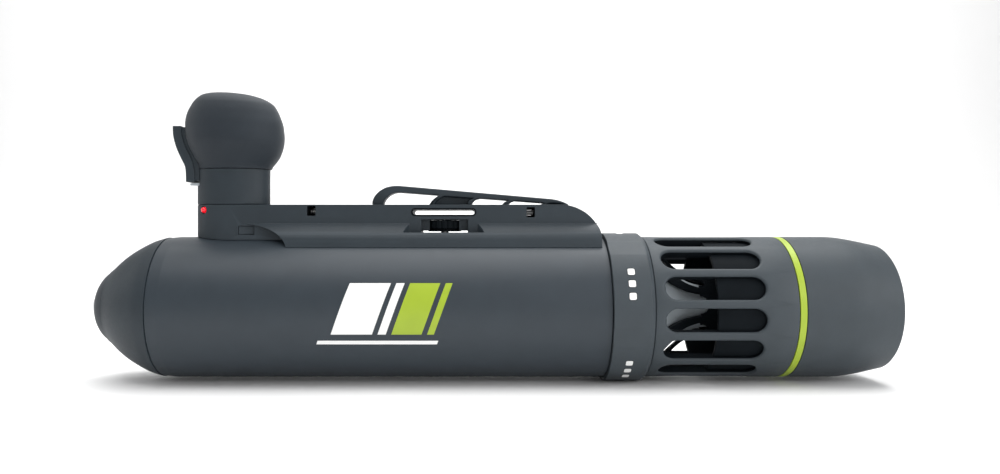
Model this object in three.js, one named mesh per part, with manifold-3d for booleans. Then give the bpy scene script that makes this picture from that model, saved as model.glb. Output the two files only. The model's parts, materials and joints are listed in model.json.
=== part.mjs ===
// Underwater scooter: a hull tube with a battery, a drive unit that locks on behind it, and an
// adapter on top that carries the bulb-shaped handle. Millimetres, +Z up, nose towards -X.
// The origin is under the middle of the scooter, on the surface it rests on.
import * as THREE from "three";
import { mergeVertices } from "three/addons/utils/BufferGeometryUtils.js";
import Module from "manifold-3d";

// ---------------------------------------------------------------- driving dimensions
const AXIS_HEIGHT = 57.5; // hull axis above the surface: the collar stands on one of its flats
const HULL_RADIUS = 55;
const HULL_BORE = 51.3;
const HULL_FRONT = -247.1;
const HULL_REAR = 93.2;
const GAP = 0.3; // between pieces that touch
const RUNNING_GAP = 0.6; // between rings that turn against each other
const RING_SIDES = 28; // round shells
const INNER_SIDES = 20; // round pieces inside them
const SMALL_SIDES = 12; // small round pieces

const NOSE_TIP = -309;
const BUMPER_REAR = -290;
const SKIRT_LENGTH = 24.6;

const COLLAR_FRONT = 93.7;
const COLLAR_REAR = 124;
const COLLAR_RADIUS = 58;
const COLLAR_FLATS = 5;
const COLLAR_SIDES = 40;

const CAGE_FRONT = 124.6;
const CAGE_REAR = 228.7;
const SLOT_COUNT = 14;
const SLOT_FRONT = 132.1;
const SLOT_REAR = 205.6;
const SLOT_WIDTH = 18;
const CAGE_BORE = 48; // thick ribs stand between the slots
const SLOT_PHASE = -6.2; // degrees from the -Y side, up positive
const STRUT_COUNT = 6;
const STRUT_PHASE = 37.7;
const STRUT_ANGLE = 14;
const WINDOW_END = 167; // the windows between the struts end in a round behind this

const RING_REAR = 234.2;
const NOZZLE_REAR = 309;
const DUCT_RADIUS = 47.6;
const DUCT_MOUTH = 171; // behind it the slots are backed by the duct
const PROP_HUB_RADIUS = 21;
const SHAFT_RADIUS = 5;

const SADDLE_TOP = 80;
const SADDLE_HALF_WIDTH = 17;
const SADDLE_CREASE = 65.4;
const SKIRT_EDGE = 46.6;
const SKIRT_HALF_WIDTH = 29.2;
const SADDLE_REAR = 90;
const SADDLE_BORE = 55.35;
const SOCKET_X = -197.1;
const SOCKET_LENGTH = 28.4; // half-lengths of the oval neck
const SOCKET_WIDTH = 17.5;
const SADDLE_SCREWS = [-168, -108, -68, 24];

const WHEEL_X = -30;
const WHEEL_RADIUS = 16;
const SLOT_MIDDLE = 74.2;
const SLOT_HEIGHT = 4.6;
const LASH_SLOTS = { front: [-132.7, 75.3], rear: [36.7, 74.2] };

const NECK_TOP = 108;
const GRIP_X = -195.8;
const TRIGGER_PIVOT = [-213, 104];
const TRIGGER_WIDTH = 17;

// ---------------------------------------------------------------- materials
function material(color, roughness, metalness) {
  return new THREE.MeshStandardMaterial({ color, roughness, metalness });
}

const hullCoat = material(0x3c444b, 0.55, 0.3);
const darkPlastic = material(0x2f373e, 0.6, 0);
const jetPlastic = material(0x4b545b, 0.6, 0);
const softRubber = material(0x2e363d, 0.8, 0);
const seal = material(0x111314, 0.7, 0);
const lime = material(0xc3de32, 0.5, 0);
const steel = material(0xc4c8ca, 0.3, 1);
const paleMetal = material(0x8d979c, 0.45, 0.4);
const blackPlastic = material(0x16191b, 0.6, 0);
const cellWrap = material(0x2a6fae, 0.5, 0);
const board = material(0x1d5b34, 0.5, 0);
const copper = material(0xa9683a, 0.4, 0.8);
const foam = material(0x23262a, 0.95, 0);
const redLens = material(0xe01524, 0.2, 0);
const whitePlastic = material(0xe6e8ea, 0.5, 0);
const bronze = material(0x9a7b45, 0.4, 0.9);

// ---------------------------------------------------------------- solids
const wasm = await Module();
wasm.setup();

// A closed three.js geometry as a solid that can be cut and joined.
function solid(geometry) {
  const bare = geometry.clone();
  bare.deleteAttribute("normal");
  bare.deleteAttribute("uv");
  const merged = mergeVertices(bare, 1e-4);
  const corners = merged.index.array;
  const triVerts = [];
  for (let i = 0; i < corners.length; i += 3) {
    const [a, b, c] = [corners[i], corners[i + 1], corners[i + 2]];
    if (a !== b && b !== c && c !== a) triVerts.push(a, b, c);
  }
  const mesh = new wasm.Mesh({
    numProp: 3,
    vertProperties: new Float32Array(merged.attributes.position.array),
    triVerts: new Uint32Array(triVerts),
  });
  return new wasm.Manifold(mesh);
}

function join(first, ...others) {
  return others.reduce((sum, other) => sum.add(other), first);
}

function cut(body, ...tools) {
  return tools.reduce((rest, tool) => rest.subtract(tool), body);
}

// The triangles of a solid as a three.js geometry.
function geometryOf(body) {
  const mesh = body.getMesh();
  const positions = new Float32Array(mesh.numVert * 3);
  for (let i = 0; i < mesh.numVert; i += 1) {
    positions.set(mesh.vertProperties.subarray(i * mesh.numProp, i * mesh.numProp + 3), i * 3);
  }
  const geometry = new THREE.BufferGeometry();
  geometry.setAttribute("position", new THREE.BufferAttribute(positions, 3));
  geometry.setIndex(new THREE.BufferAttribute(new Uint32Array(mesh.triVerts), 1));
  geometry.computeVertexNormals();
  return geometry;
}

// A body of revolution about the X axis: the outline is a list of [x, radius].
function turned(outline, sides = RING_SIDES) {
  const points = outline.map(([x, radius]) => new THREE.Vector2(radius, x));
  const onAxis = points[0].x === 0 && points.at(-1).x === 0;
  if (!onAxis) points.push(points[0].clone());
  if (THREE.ShapeUtils.area(points) < 0) points.reverse();
  return solid(new THREE.LatheGeometry(points, sides).rotateZ(-Math.PI / 2));
}

// A plain ring about the X axis.
function ring(front, rear, inner, outer, sides = RING_SIDES) {
  const outline = [
    [front, inner],
    [front, outer],
    [rear, outer],
    [rear, inner],
  ];
  return turned(outline, sides);
}

// A ring of round section about the X axis.
function oRing(x, radius, sectionRadius, sides = INNER_SIDES) {
  const outline = [];
  for (let i = 0; i < 6; i += 1) {
    const angle = (i * Math.PI) / 3;
    outline.push([x + sectionRadius * Math.cos(angle), radius + sectionRadius * Math.sin(angle)]);
  }
  return turned(outline, sides);
}

// A rod between two points.
function rod(from, to, radius, sides = SMALL_SIDES) {
  const start = new THREE.Vector3(...from);
  const end = new THREE.Vector3(...to);
  const along = end.clone().sub(start);
  const geometry = new THREE.CylinderGeometry(radius, radius, along.length(), sides);
  const turn = new THREE.Quaternion().setFromUnitVectors(
    new THREE.Vector3(0, 1, 0),
    along.clone().normalize(),
  );
  geometry.applyQuaternion(turn);
  const middle = start.add(end).multiplyScalar(0.5);
  return solid(geometry.translate(middle.x, middle.y, middle.z));
}

// A box between two corners.
function block([x0, y0, z0], [x1, y1, z1]) {
  const geometry = new THREE.BoxGeometry(x1 - x0, y1 - y0, z1 - z0);
  return solid(geometry.translate((x0 + x1) / 2, (y0 + y1) / 2, (z0 + z1) / 2));
}

// A shape drawn in one of the three planes and extruded across it.
function prism(shape, from, to, plane, curveSegments = 8) {
  const geometry = new THREE.ExtrudeGeometry(shape, {
    depth: to - from,
    bevelEnabled: false,
    curveSegments,
  });
  geometry.translate(0, 0, from);
  const x = new THREE.Vector3(1, 0, 0);
  const y = new THREE.Vector3(0, 1, 0);
  const z = new THREE.Vector3(0, 0, 1);
  if (plane === "side") {
    // X and Z on paper, extruded along Y.
    geometry.applyMatrix4(new THREE.Matrix4().makeBasis(x, z, y.clone().negate()));
  }
  if (plane === "section") {
    // Y and Z on paper, extruded along X.
    geometry.applyMatrix4(new THREE.Matrix4().makeBasis(y, z, x));
  }
  return solid(geometry);
}

function polygon(points) {
  return new THREE.Shape(points.map(([a, b]) => new THREE.Vector2(a, b)));
}

function ellipse(x, y, halfLength, halfWidth) {
  return new THREE.Shape().absellipse(x, y, halfLength, halfWidth, 0, Math.PI * 2);
}

// A slot with round ends, centred on a point, its length along the first axis.
function stadium(x, y, length, width) {
  const straight = (length - width) / 2;
  const shape = new THREE.Shape();
  shape.absarc(x + straight, y, width / 2, -Math.PI / 2, Math.PI / 2);
  shape.absarc(x - straight, y, width / 2, Math.PI / 2, (3 * Math.PI) / 2);
  return shape;
}

// A solid turned about the hull axis: degrees from the -Y side, up positive.
function around(body, degrees) {
  return body.rotate([-degrees, 0, 0]);
}

// Points of a cubic curve in [x, radius] form.
function curvePoints(steps, ...controls) {
  const curve = new THREE.CubicBezierCurve(...controls.map(([x, r]) => new THREE.Vector2(x, r)));
  return curve.getPoints(steps).map((point) => [point.x, point.y]);
}

const scooter = new THREE.Group();
scooter.position.z = AXIS_HEIGHT;

function add(name, body, look) {
  const mesh = new THREE.Mesh(geometryOf(body), look);
  mesh.name = name;
  scooter.add(mesh);
}

// ---------------------------------------------------------------- nose
function noseCap() {
  const bossFront = -301;
  const outside = curvePoints(4, [BUMPER_REAR, 28.6], [-276, 43], [-262, 51], [-247.4, 54.3]);
  const skirtEnd = -247.4 + SKIRT_LENGTH;
  const skirtRadius = HULL_BORE - 0.7;
  const outline = [
    [bossFront, 7.3],
    [bossFront, 9],
    [-296.2, 17.6],
    [-291.4, 22.4],
    [BUMPER_REAR, 22.4],
    ...outside,
    [-247.4, skirtRadius],
    [-241.2, skirtRadius],
    [-241.2, 48.7],
    [-237.4, 48.7],
    [-237.4, skirtRadius],
    [skirtEnd, skirtRadius],
    [skirtEnd, 47],
    [-258, 46.8],
    [-280, 32],
    [-296, 11],
    [-296, 5.4],
    [-299.3, 5.4],
    [-299.3, 7.3],
  ];
  return turned(outline);
}

function noseBumper() {
  const rear = BUMPER_REAR - GAP;
  const outside = curvePoints(4, [-302.8, 11.2], [-300.8, 17.6], [-297, 24.8], [rear, 28.6]);
  const outline = [
    [-302.8, 10.2],
    ...outside,
    [rear, 22.8],
    [-291.6, 22.8],
    [-296.5, 18],
    [-300.8, 10.2],
  ];
  return turned(outline, INNER_SIDES);
}

function ventPlug() {
  const outline = [
    [NOSE_TIP, 0],
    [-307.6, 4],
    [-306, 7.4],
    [-304.4, 9.6],
    [-301.4, 9.6],
    [-301.4, 5],
    [-291, 5],
    [-289.5, 3.6],
    [-289.5, 0],
  ];
  return turned(outline, SMALL_SIDES);
}

function addNose() {
  add("nose_cap", noseCap(), darkPlastic);
  add("nose_bumper", noseBumper(), softRubber);
  add("vent_plug", ventPlug(), steel);
  add("vent_seal", oRing(-300.2, 6.25, 0.7, SMALL_SIDES), seal);
  add("nose_seal", oRing(-239.3, 49.95, 0.95, RING_SIDES), seal);
}

// ---------------------------------------------------------------- hull and battery
function hullTube() {
  const outline = [
    [HULL_FRONT, HULL_BORE],
    [HULL_FRONT, 54.4],
    [-238, HULL_RADIUS],
    [HULL_REAR, HULL_RADIUS],
    [HULL_REAR, HULL_BORE],
  ];
  const holes = SADDLE_SCREWS.map((x) => rod([x, 0, 45], [x, 0, 60], 2.3, 12));
  return cut(turned(outline), ...holes);
}

// Cells lie along the hull in three rows, low down, and a plate at their front joins them.
function batteryBank(front) {
  const cellRadius = 9;
  const cellLength = 65;
  const pitch = 19.2;
  const rows = [
    [-32, 3],
    [-13, 4],
    [6, 4],
  ];
  const plate = block([front, -38, -37], [front + 2, 38, 6]);
  const cells = [];
  for (const [z, count] of rows) {
    for (let i = 0; i < count; i += 1) {
      const y = (i - (count - 1) / 2) * pitch;
      cells.push(rod([front + 1, y, z], [front + cellLength, y, z], cellRadius, 8));
    }
  }
  const trim = ring(front - 1, front + 3, 45.8, 70);
  return join(cut(plate, trim), ...cells);
}

// A heavy cradle under the cells keeps the scooter upright.
function batteryTray() {
  const shape = new THREE.Shape();
  const halfAngle = THREE.MathUtils.degToRad(52);
  const down = -Math.PI / 2;
  shape.absarc(0, 0, 50.6, down - halfAngle, down + halfAngle, false);
  shape.absarc(0, 0, 47.3, down + halfAngle, down - halfAngle, true);
  return prism(shape, -212, -4, "section", 10);
}

function batteryBoard() {
  const plate = block([-200, -28, 20], [-60, 28, 21.6]);
  const parts = [-185, -160, -135, -110, -85].map((x) => {
    return block([x, -18, 21], [x + 14, 18, 27]);
  });
  return join(plate, ...parts);
}

function rearBulkhead() {
  const outline = [
    [40, 11.3],
    [40, 50.8],
    [43, 50.8],
    [43, 48.9],
    [46.4, 48.9],
    [46.4, 50.8],
    [50, 50.8],
    [50, 40],
    [45, 40],
    [45, 11.3],
  ];
  return turned(outline, INNER_SIDES);
}

function powerSocket() {
  const outline = [
    [30, 0],
    [30, 16],
    [39.6, 16],
    [39.6, 11],
    [53, 11],
    [53, 7.9],
    [42, 7.9],
    [42, 0],
  ];
  return turned(outline, SMALL_SIDES);
}

function powerPlug() {
  const outline = [
    [44, 0],
    [44, 7.5],
    [54, 7.5],
    [54, 15],
    [57.7, 15],
    [57.7, 0],
  ];
  return turned(outline, SMALL_SIDES);
}

function addHull() {
  add("hull_tube", hullTube(), hullCoat);
  add("battery_bank_front", batteryBank(-211), cellWrap);
  add("battery_bank_middle", batteryBank(-143), cellWrap);
  add("battery_bank_rear", batteryBank(-75), cellWrap);
  add("battery_tray", batteryTray(), steel);
  add("battery_board", batteryBoard(), board);
  add("front_pad", ring(-220.5, -213, 6, 48, INNER_SIDES), foam);
  add("rear_bulkhead", rearBulkhead(), blackPlastic);
  add("bulkhead_seal", oRing(44.7, 49.95, 0.9), seal);
  add("power_socket", powerSocket(), blackPlastic);
}

// ---------------------------------------------------------------- drive unit
function motorHousing() {
  const spigotRadius = HULL_BORE - 0.5;
  const outline = [
    [58, 0],
    [58, spigotRadius],
    [82, spigotRadius],
    [82, 48.7],
    [85.8, 48.7],
    [85.8, spigotRadius],
    [110, spigotRadius],
    [110, 53],
    [114, 53],
    [114, spigotRadius],
    [124.3, spigotRadius],
    [124.3, 47.5],
    [131, 47.5],
    [131, 44],
    [62, 44],
    [62, 14],
    [74, 14],
    [74, 10],
    [62.5, 10],
    [62.5, 0],
  ];
  return turned(outline);
}

function lockingCollar() {
  const inner = HULL_BORE - 0.5 + RUNNING_GAP;
  const outline = [
    [COLLAR_FRONT, inner],
    [COLLAR_FRONT, COLLAR_RADIUS],
    [COLLAR_REAR - 3, COLLAR_RADIUS],
    [COLLAR_REAR, COLLAR_RADIUS - 2.8],
    [COLLAR_REAR, inner],
    [114.6, inner],
    [114.6, 53.7],
    [109.4, 53.7],
    [109.4, inner],
  ];
  const bar = block([COLLAR_FRONT - 1, -9, -64], [COLLAR_REAR + 1, 9, -AXIS_HEIGHT]);
  const flats = [];
  for (let i = 0; i < COLLAR_FLATS; i += 1) {
    flats.push(bar.rotate([(i * 360) / COLLAR_FLATS, 0, 0]));
  }
  return cut(turned(outline, COLLAR_SIDES), ...flats);
}

function motorController() {
  const plate = ring(64, 66, 16, 40, INNER_SIDES);
  const parts = [30, 90, 150, 210, 270, 330].map((angle) => {
    return block([65, -5, 24], [73, 5, 34]).rotate([angle, 0, 0]);
  });
  return join(plate, ...parts);
}

function motorStator() {
  const yoke = ring(78, 108, 37, 43.2, INNER_SIDES);
  const teeth = [];
  for (let i = 0; i < 12; i += 1) {
    teeth.push(block([78, -4.6, 28], [108, 4.6, 40]).rotate([i * 30, 0, 0]));
  }
  return join(yoke, ...teeth);
}

function driveShaft() {
  const outline = [
    [66, 0],
    [66, SHAFT_RADIUS],
    [246, SHAFT_RADIUS],
    [246, 4],
    [255, 4],
    [255, 0],
  ];
  return turned(outline, SMALL_SIDES);
}

// The struts and the fairing under them share one trumpet-shaped line.
const TRUMPET = [
  [137.5, 45.4],
  [146.5, 35.6],
  [156.5, 27.8],
  [163.8, 24],
  [172, 21.6],
  [180, 21],
];

function flowCone() {
  const clearance = 4.8;
  const outside = TRUMPET.map(([x, radius]) => [x - 1.5, radius - clearance]);
  const outline = [
    [118, 11.4],
    [118, 43.6],
    [131.4, 43.6],
    ...outside,
    [186, 16.2],
    [186, 9.3],
    [181, 9.3],
    [181, SHAFT_RADIUS + RUNNING_GAP],
    [126.5, SHAFT_RADIUS + RUNNING_GAP],
    [126.5, 11.4],
  ];
  return turned(outline, INNER_SIDES);
}

function guideCage() {
  const skin = 2.4;
  const inside = TRUMPET.map(([x, radius]) => [x - 1, radius - skin]).reverse();
  const outline = [
    [131.6, 45.6],
    [131.6, 47.6],
    [134, 47.6],
    ...TRUMPET,
    [206, PROP_HUB_RADIUS],
    [206, 9.4],
    [192, 9.4],
    [192, 16.8],
    ...inside,
  ];
  const windowAngle = THREE.MathUtils.degToRad(360 / STRUT_COUNT - STRUT_ANGLE);
  const reach = 60;
  const wedgeShape = new THREE.Shape();
  wedgeShape.moveTo(0, 0);
  wedgeShape.absarc(0, 0, reach, -windowAngle / 2, windowAngle / 2, false);
  const wedge = prism(wedgeShape, 134, WINDOW_END, "section", 3);
  const endRadius = 17 * Math.sin(windowAngle / 2);
  const roundEnd = rod([WINDOW_END, 0, 0], [WINDOW_END, reach, 0], endRadius, 12);
  const opening = join(wedge, roundEnd).rotate([180, 0, 0]);
  const windows = [];
  for (let i = 0; i < STRUT_COUNT; i += 1) {
    const angle = STRUT_PHASE + ((i + 0.5) * 360) / STRUT_COUNT;
    windows.push(around(opening, angle));
  }
  return cut(turned(outline, INNER_SIDES), ...windows);
}

function intakeCage() {
  const outline = [
    [CAGE_FRONT, CAGE_BORE],
    [CAGE_FRONT, HULL_RADIUS],
    [CAGE_REAR, HULL_RADIUS],
    [CAGE_REAR, 51.4],
    [DUCT_MOUTH - GAP, 51.4],
    [DUCT_MOUTH - GAP, CAGE_BORE],
  ];
  const middle = (SLOT_FRONT + SLOT_REAR) / 2;
  const shape = stadium(middle, 0, SLOT_REAR - SLOT_FRONT, SLOT_WIDTH);
  const tool = prism(shape, 40, 60, "side", 3);
  const slots = [];
  for (let i = 0; i < SLOT_COUNT; i += 1) {
    slots.push(around(tool, SLOT_PHASE + (i * 360) / SLOT_COUNT));
  }
  return cut(turned(outline), ...slots);
}

// A flat blade stood on a hub and twisted about the hull axis along its length.
function twistedBlade({ front, rear, inner, outer, thickness, twist, steps }) {
  const geometry = new THREE.BoxGeometry(rear - front, thickness, outer - inner, steps, 1, 1);
  geometry.translate((front + rear) / 2, 0, (inner + outer) / 2);
  const position = geometry.getAttribute("position");
  const point = new THREE.Vector3();
  for (let i = 0; i < position.count; i += 1) {
    point.fromBufferAttribute(position, i);
    const turn = THREE.MathUtils.degToRad((twist * (point.x - front)) / (rear - front));
    point.applyAxisAngle(new THREE.Vector3(1, 0, 0), turn);
    position.setXYZ(i, point.x, point.y, point.z);
  }
  return solid(geometry);
}

function bladeRow(count, blade) {
  const blades = [];
  for (let i = 0; i < count; i += 1) {
    blades.push(blade.rotate([(i * 360) / count, 0, 0]));
  }
  return blades;
}

function impeller() {
  const hub = ring(209, 246, SHAFT_RADIUS + GAP, PROP_HUB_RADIUS - 0.4, INNER_SIDES);
  const blade = twistedBlade({
    front: 212,
    rear: 244,
    inner: 18,
    outer: DUCT_RADIUS - 1,
    thickness: 2.4,
    twist: 85,
    steps: 5,
  });
  return join(hub, ...bladeRow(4, blade));
}

function statorVanes() {
  const hubOutline = [
    [256.4, 0],
    [256.4, 20],
    [264, 20.4],
    [276, 14],
    [288, 0],
  ];
  const blade = twistedBlade({
    front: 258,
    rear: 278,
    inner: 12,
    outer: 46,
    thickness: 2.2,
    twist: -22,
    steps: 2,
  });
  const band = ring(258, 278, 44.8, 46.4, INNER_SIDES);
  return join(turned(hubOutline, INNER_SIDES), band, ...bladeRow(6, blade));
}

function nozzle() {
  const outside = curvePoints(4, [267, HULL_RADIUS], [280, 55], [288, 51.9], [306.5, 48.7]);
  const outline = [
    [RING_REAR + GAP, 51.4],
    [RING_REAR + GAP, HULL_RADIUS],
    ...outside,
    [308.4, 48.2],
    [NOZZLE_REAR, 47.2],
    [NOZZLE_REAR, 45.4],
    [308, 44.6],
    [280, 47],
    [252.6, 47.1],
    [252.6, 51.4],
  ];
  return turned(outline);
}

function addDriveUnit() {
  add("power_plug", powerPlug(), blackPlastic);
  add("motor_housing", motorHousing(), darkPlastic);
  add("spigot_seal", oRing(83.9, 49.95, 0.95, RING_SIDES), seal);
  add("locking_collar", lockingCollar(), jetPlastic);
  add("motor_controller", motorController(), board);
  add("motor_stator", motorStator(), copper);
  add("motor_rotor", ring(79, 107, SHAFT_RADIUS + GAP, 24.8, INNER_SIDES), steel);
  add("drive_shaft", driveShaft(), steel);
  add("front_bearing", ring(67, 73.5, SHAFT_RADIUS + GAP, 9.6, SMALL_SIDES), steel);
  add("rear_bearing", ring(118.5, 126, SHAFT_RADIUS + GAP, 11, SMALL_SIDES), steel);
  add("shaft_seal", ring(181.4, 185.6, SHAFT_RADIUS + GAP, 8.9, SMALL_SIDES), seal);
  add("shaft_bush", ring(192.4, 205.6, SHAFT_RADIUS + GAP, 9, SMALL_SIDES), bronze);
  add("flow_cone", flowCone(), paleMetal);
  add("guide_cage", guideCage(), blackPlastic);
  add("intake_cage", intakeCage(), jetPlastic);
  add("duct_liner", ring(DUCT_MOUTH, 252.2, DUCT_RADIUS, 50.9), blackPlastic);
  add("impeller", impeller(), blackPlastic);
  add("impeller_nut", ring(246.4, 252.5, 5, 8.5, 6), steel);
  add("stator_vanes", statorVanes(), blackPlastic);
  add("accent_ring", ring(CAGE_REAR + GAP, RING_REAR, 51.4, HULL_RADIUS), lime);
  add("nozzle", nozzle(), jetPlastic);
}

// ---------------------------------------------------------------- saddle
// The adapter's plan: an oval front round the handle's socket, and straight sides behind it.
function saddlePlan() {
  const shape = new THREE.Shape();
  const corner = 5;
  const side = SADDLE_HALF_WIDTH;
  shape.absellipse(SOCKET_X, 0, SOCKET_LENGTH, SOCKET_WIDTH, Math.PI / 2, (3 * Math.PI) / 2);
  shape.lineTo(SOCKET_X + 20, -side);
  shape.lineTo(SADDLE_REAR - corner, -side);
  shape.absarc(SADDLE_REAR - corner, corner - side, corner, -Math.PI / 2, 0);
  shape.absarc(SADDLE_REAR - corner, side - corner, corner, 0, Math.PI / 2);
  shape.lineTo(SOCKET_X + 20, side);
  return shape;
}

// The adapter's side view, which rounds off its rear end.
function saddleSide() {
  const shape = new THREE.Shape();
  shape.moveTo(-230, 40);
  shape.lineTo(SADDLE_REAR, 40);
  shape.lineTo(SADDLE_REAR, 57);
  shape.bezierCurveTo(89, 66, 78, 78, 64, SADDLE_TOP);
  shape.lineTo(-230, SADDLE_TOP);
  return shape;
}

// The flared skirt on both sides, with its front end swept back.
function saddleSkirt() {
  const start = -190;
  const sweep = 40;
  const section = polygon([
    [-SKIRT_HALF_WIDTH, SKIRT_EDGE],
    [SKIRT_HALF_WIDTH, SKIRT_EDGE],
    [SADDLE_HALF_WIDTH, SADDLE_CREASE],
    [-SADDLE_HALF_WIDTH, SADDLE_CREASE],
  ]);
  const flare = prism(section, start, SADDLE_REAR, "section");
  const height = SADDLE_CREASE - SKIRT_EDGE;
  const front = prism(ellipse(start, SKIRT_EDGE, sweep, height), -40, 40, "side", 12);
  return cut(flare, front);
}

// Both side recesses round the clamp wheel: deeper than the flare, and open at the top.
function wheelRecess() {
  const plan = polygon([
    [-56.7, SADDLE_HALF_WIDTH],
    [-4.1, SADDLE_HALF_WIDTH],
    [6, 34],
    [-67, 34],
  ]);
  const far = prism(plan, 58.4, 90, "plan");
  return join(far, far.mirror([0, 1, 0]));
}

function lashSlot([x, z]) {
  const web = 0.6;
  const near = block([x - 3.1, -40, z - 3.9], [x + 3.1, -web, z + 3.7]);
  const far = block([x - 3.1, web, z - 3.9], [x + 3.1, 40, z + 3.7]);
  const pinHole = rod([x - 7.3, 0, z], [x + 7.3, 0, z], 2.2, 12);
  return join(near, far, pinHole);
}

function ledDirection() {
  return new THREE.Vector3(-0.54, -0.842, 0);
}

const LED_FACE = [-217.5, -12.17, 76];

function ledPoint(depth) {
  const point = new THREE.Vector3(...LED_FACE).addScaledVector(ledDirection(), -depth);
  return point.toArray();
}

const LATCH = { x0: -188.9, x1: -176.7, z0: 56.6, z1: 63.6 };

function saddleTools() {
  const hull = rod([-260, 0, 0], [120, 0, 0], SADDLE_BORE, RING_SIDES);
  const gasketRoom = cut(
    rod([-205, 0, 0], [84, 0, 0], SADDLE_BORE + 0.9, RING_SIDES),
    block([-206, -60, -60], [85, -13.2, 60]),
    block([-206, 13.2, -60], [85, 60, 60]),
  );
  const socket = prism(ellipse(SOCKET_X, 0, 22.4, 12.9), 60.6, 90, "plan", 8);
  const wheelRoom = join(
    block([-47.8, -40, 58.4], [-11.7, 40, 60]),
    block([-47.8, -40, 58.4], [-11.7, -13, 68.5]),
    block([-47.8, 13, 58.4], [-11.7, 40, 68.5]),
    rod([WHEEL_X, 0, 59], [WHEEL_X, 0, 68.5], WHEEL_RADIUS + 1.2, 24),
  );
  const webbing = prism(stadium(WHEEL_X - 0.5, SLOT_MIDDLE, 48.6, SLOT_HEIGHT), -40, 40, "side", 6);
  const shoeRoom = block([-43.3, -9.3, 70.8], [-16.7, 9.3, 73]);
  const screwHole = rod([WHEEL_X, 0, 56.5], [WHEEL_X, 0, 72], 3.4, 16);
  const screwHoles = SADDLE_SCREWS.map((x) => rod([x, 0, 50], [x, 0, 67], 2.3, 12));
  const bowHoles = [
    join(rod([-82.5, 0, 50], [-82.5, 0, 72], 3.6, 12), rod([-82.5, 0, 60], [-82.5, 0, 90], 1.8, 12)),
    join(rod([60, 0, 50], [60, 0, 72], 3.6, 12), rod([60, 0, 60], [60, 0, 90], 1.8, 12)),
  ];
  const lashes = [lashSlot(LASH_SLOTS.front), lashSlot(LASH_SLOTS.rear)];
  const led = rod(ledPoint(4.2), ledPoint(-4), 3.1, 16);
  const latch = block([LATCH.x0, -30, LATCH.z0], [LATCH.x1, -11.8, LATCH.z1]);
  const pockets = [
    [-160, -142],
    [-124, -114],
    [-101, -90],
    [0, 17],
    [46, 54],
    [66, 73],
  ].map(([front, rear]) => block([front, -12, 40], [rear, 12, 74]));
  return [
    hull,
    gasketRoom,
    socket,
    wheelRoom,
    webbing,
    shoeRoom,
    screwHole,
    ...screwHoles,
    ...bowHoles,
    ...lashes,
    led,
    latch,
    ...pockets,
    wheelRecess(),
  ];
}

function saddle() {
  const top = prism(saddlePlan(), 40, SADDLE_TOP, "plan", 8);
  const sideLimit = prism(saddleSide(), -40, 40, "side", 8);
  const body = join(top, saddleSkirt()).intersect(sideLimit);
  return cut(body, ...saddleTools());
}

function saddleGasket() {
  const strip = rod([-204.6, 0, 0], [83.6, 0, 0], SADDLE_BORE + 0.55, RING_SIDES);
  const hull = rod([-260, 0, 0], [120, 0, 0], SADDLE_BORE, RING_SIDES);
  const sides = [
    block([-206, -60, -60], [85, -12.8, 60]),
    block([-206, 12.8, -60], [85, 60, 60]),
    block([-206, -60, -60], [85, 60, 10]),
  ];
  const holes = SADDLE_SCREWS.map((x) => rod([x, 0, 50], [x, 0, 60], 2.3, 12));
  const wheel = rod([WHEEL_X, 0, 50], [WHEEL_X, 0, 60], 4, 12);
  return cut(strip, hull, ...sides, ...holes, wheel);
}

// A screw with a round head below, pointing up.
function upwardScrew(x, headBottom, headTop, tip, headRadius, radius) {
  return join(
    rod([x, 0, headBottom], [x, 0, headTop], headRadius, 12),
    rod([x, 0, headTop - 0.5], [x, 0, tip], radius, 12),
  );
}

function statusLed() {
  const stem = rod(ledPoint(3.9), ledPoint(1.4), 2.6, 12);
  const dome = solid(new THREE.SphereGeometry(2.2, 12, 8)).translate(ledPoint(0.4));
  return join(stem, dome);
}

function clampWheel() {
  const disc = rod([WHEEL_X, 0, 61.2], [WHEEL_X, 0, 68], WHEEL_RADIUS, 24);
  const grooves = [];
  for (let i = 0; i < 8; i += 1) {
    const angle = (i * Math.PI) / 4;
    const x = WHEEL_X + (WHEEL_RADIUS + 1.2) * Math.cos(angle);
    const y = (WHEEL_RADIUS + 1.2) * Math.sin(angle);
    grooves.push(rod([x, y, 60], [x, y, 69], 2.6, 6));
  }
  const flange = rod([WHEEL_X, 0, 59.3], [WHEEL_X, 0, 61.5], 13, 24);
  const bore = rod([WHEEL_X, 0, 55], [WHEEL_X, 0, 70], 3.4, 16);
  return cut(join(cut(disc, ...grooves), flange), bore);
}

function handleLatch() {
  const wedge = polygon([
    [LATCH.x0 + GAP, -16.9],
    [LATCH.x1 - GAP, -14.5],
    [LATCH.x0 + GAP, -14.5],
  ]);
  const face = prism(wedge, LATCH.z0 + GAP, LATCH.z1 - GAP, "plan");
  const plate = block(
    [LATCH.x0 + GAP, -14.8, LATCH.z0 + GAP],
    [LATCH.x1 - GAP, -14.2, LATCH.z1 - GAP],
  );
  return join(face, plate);
}

// ---------------------------------------------------------------- carry bow
// The lower line of the bow's top chord.
function chordLow(x) {
  return THREE.MathUtils.mapLinear(x, -66, 52, 89.9, 81.2);
}

function bowWindow(left, right, halfWidth) {
  const points = [
    [left[0], 79],
    [right[0], 79],
    [right[1], chordLow(right[1])],
    [left[1], chordLow(left[1])],
  ];
  return prism(polygon(points), -halfWidth, halfWidth, "side");
}

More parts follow.
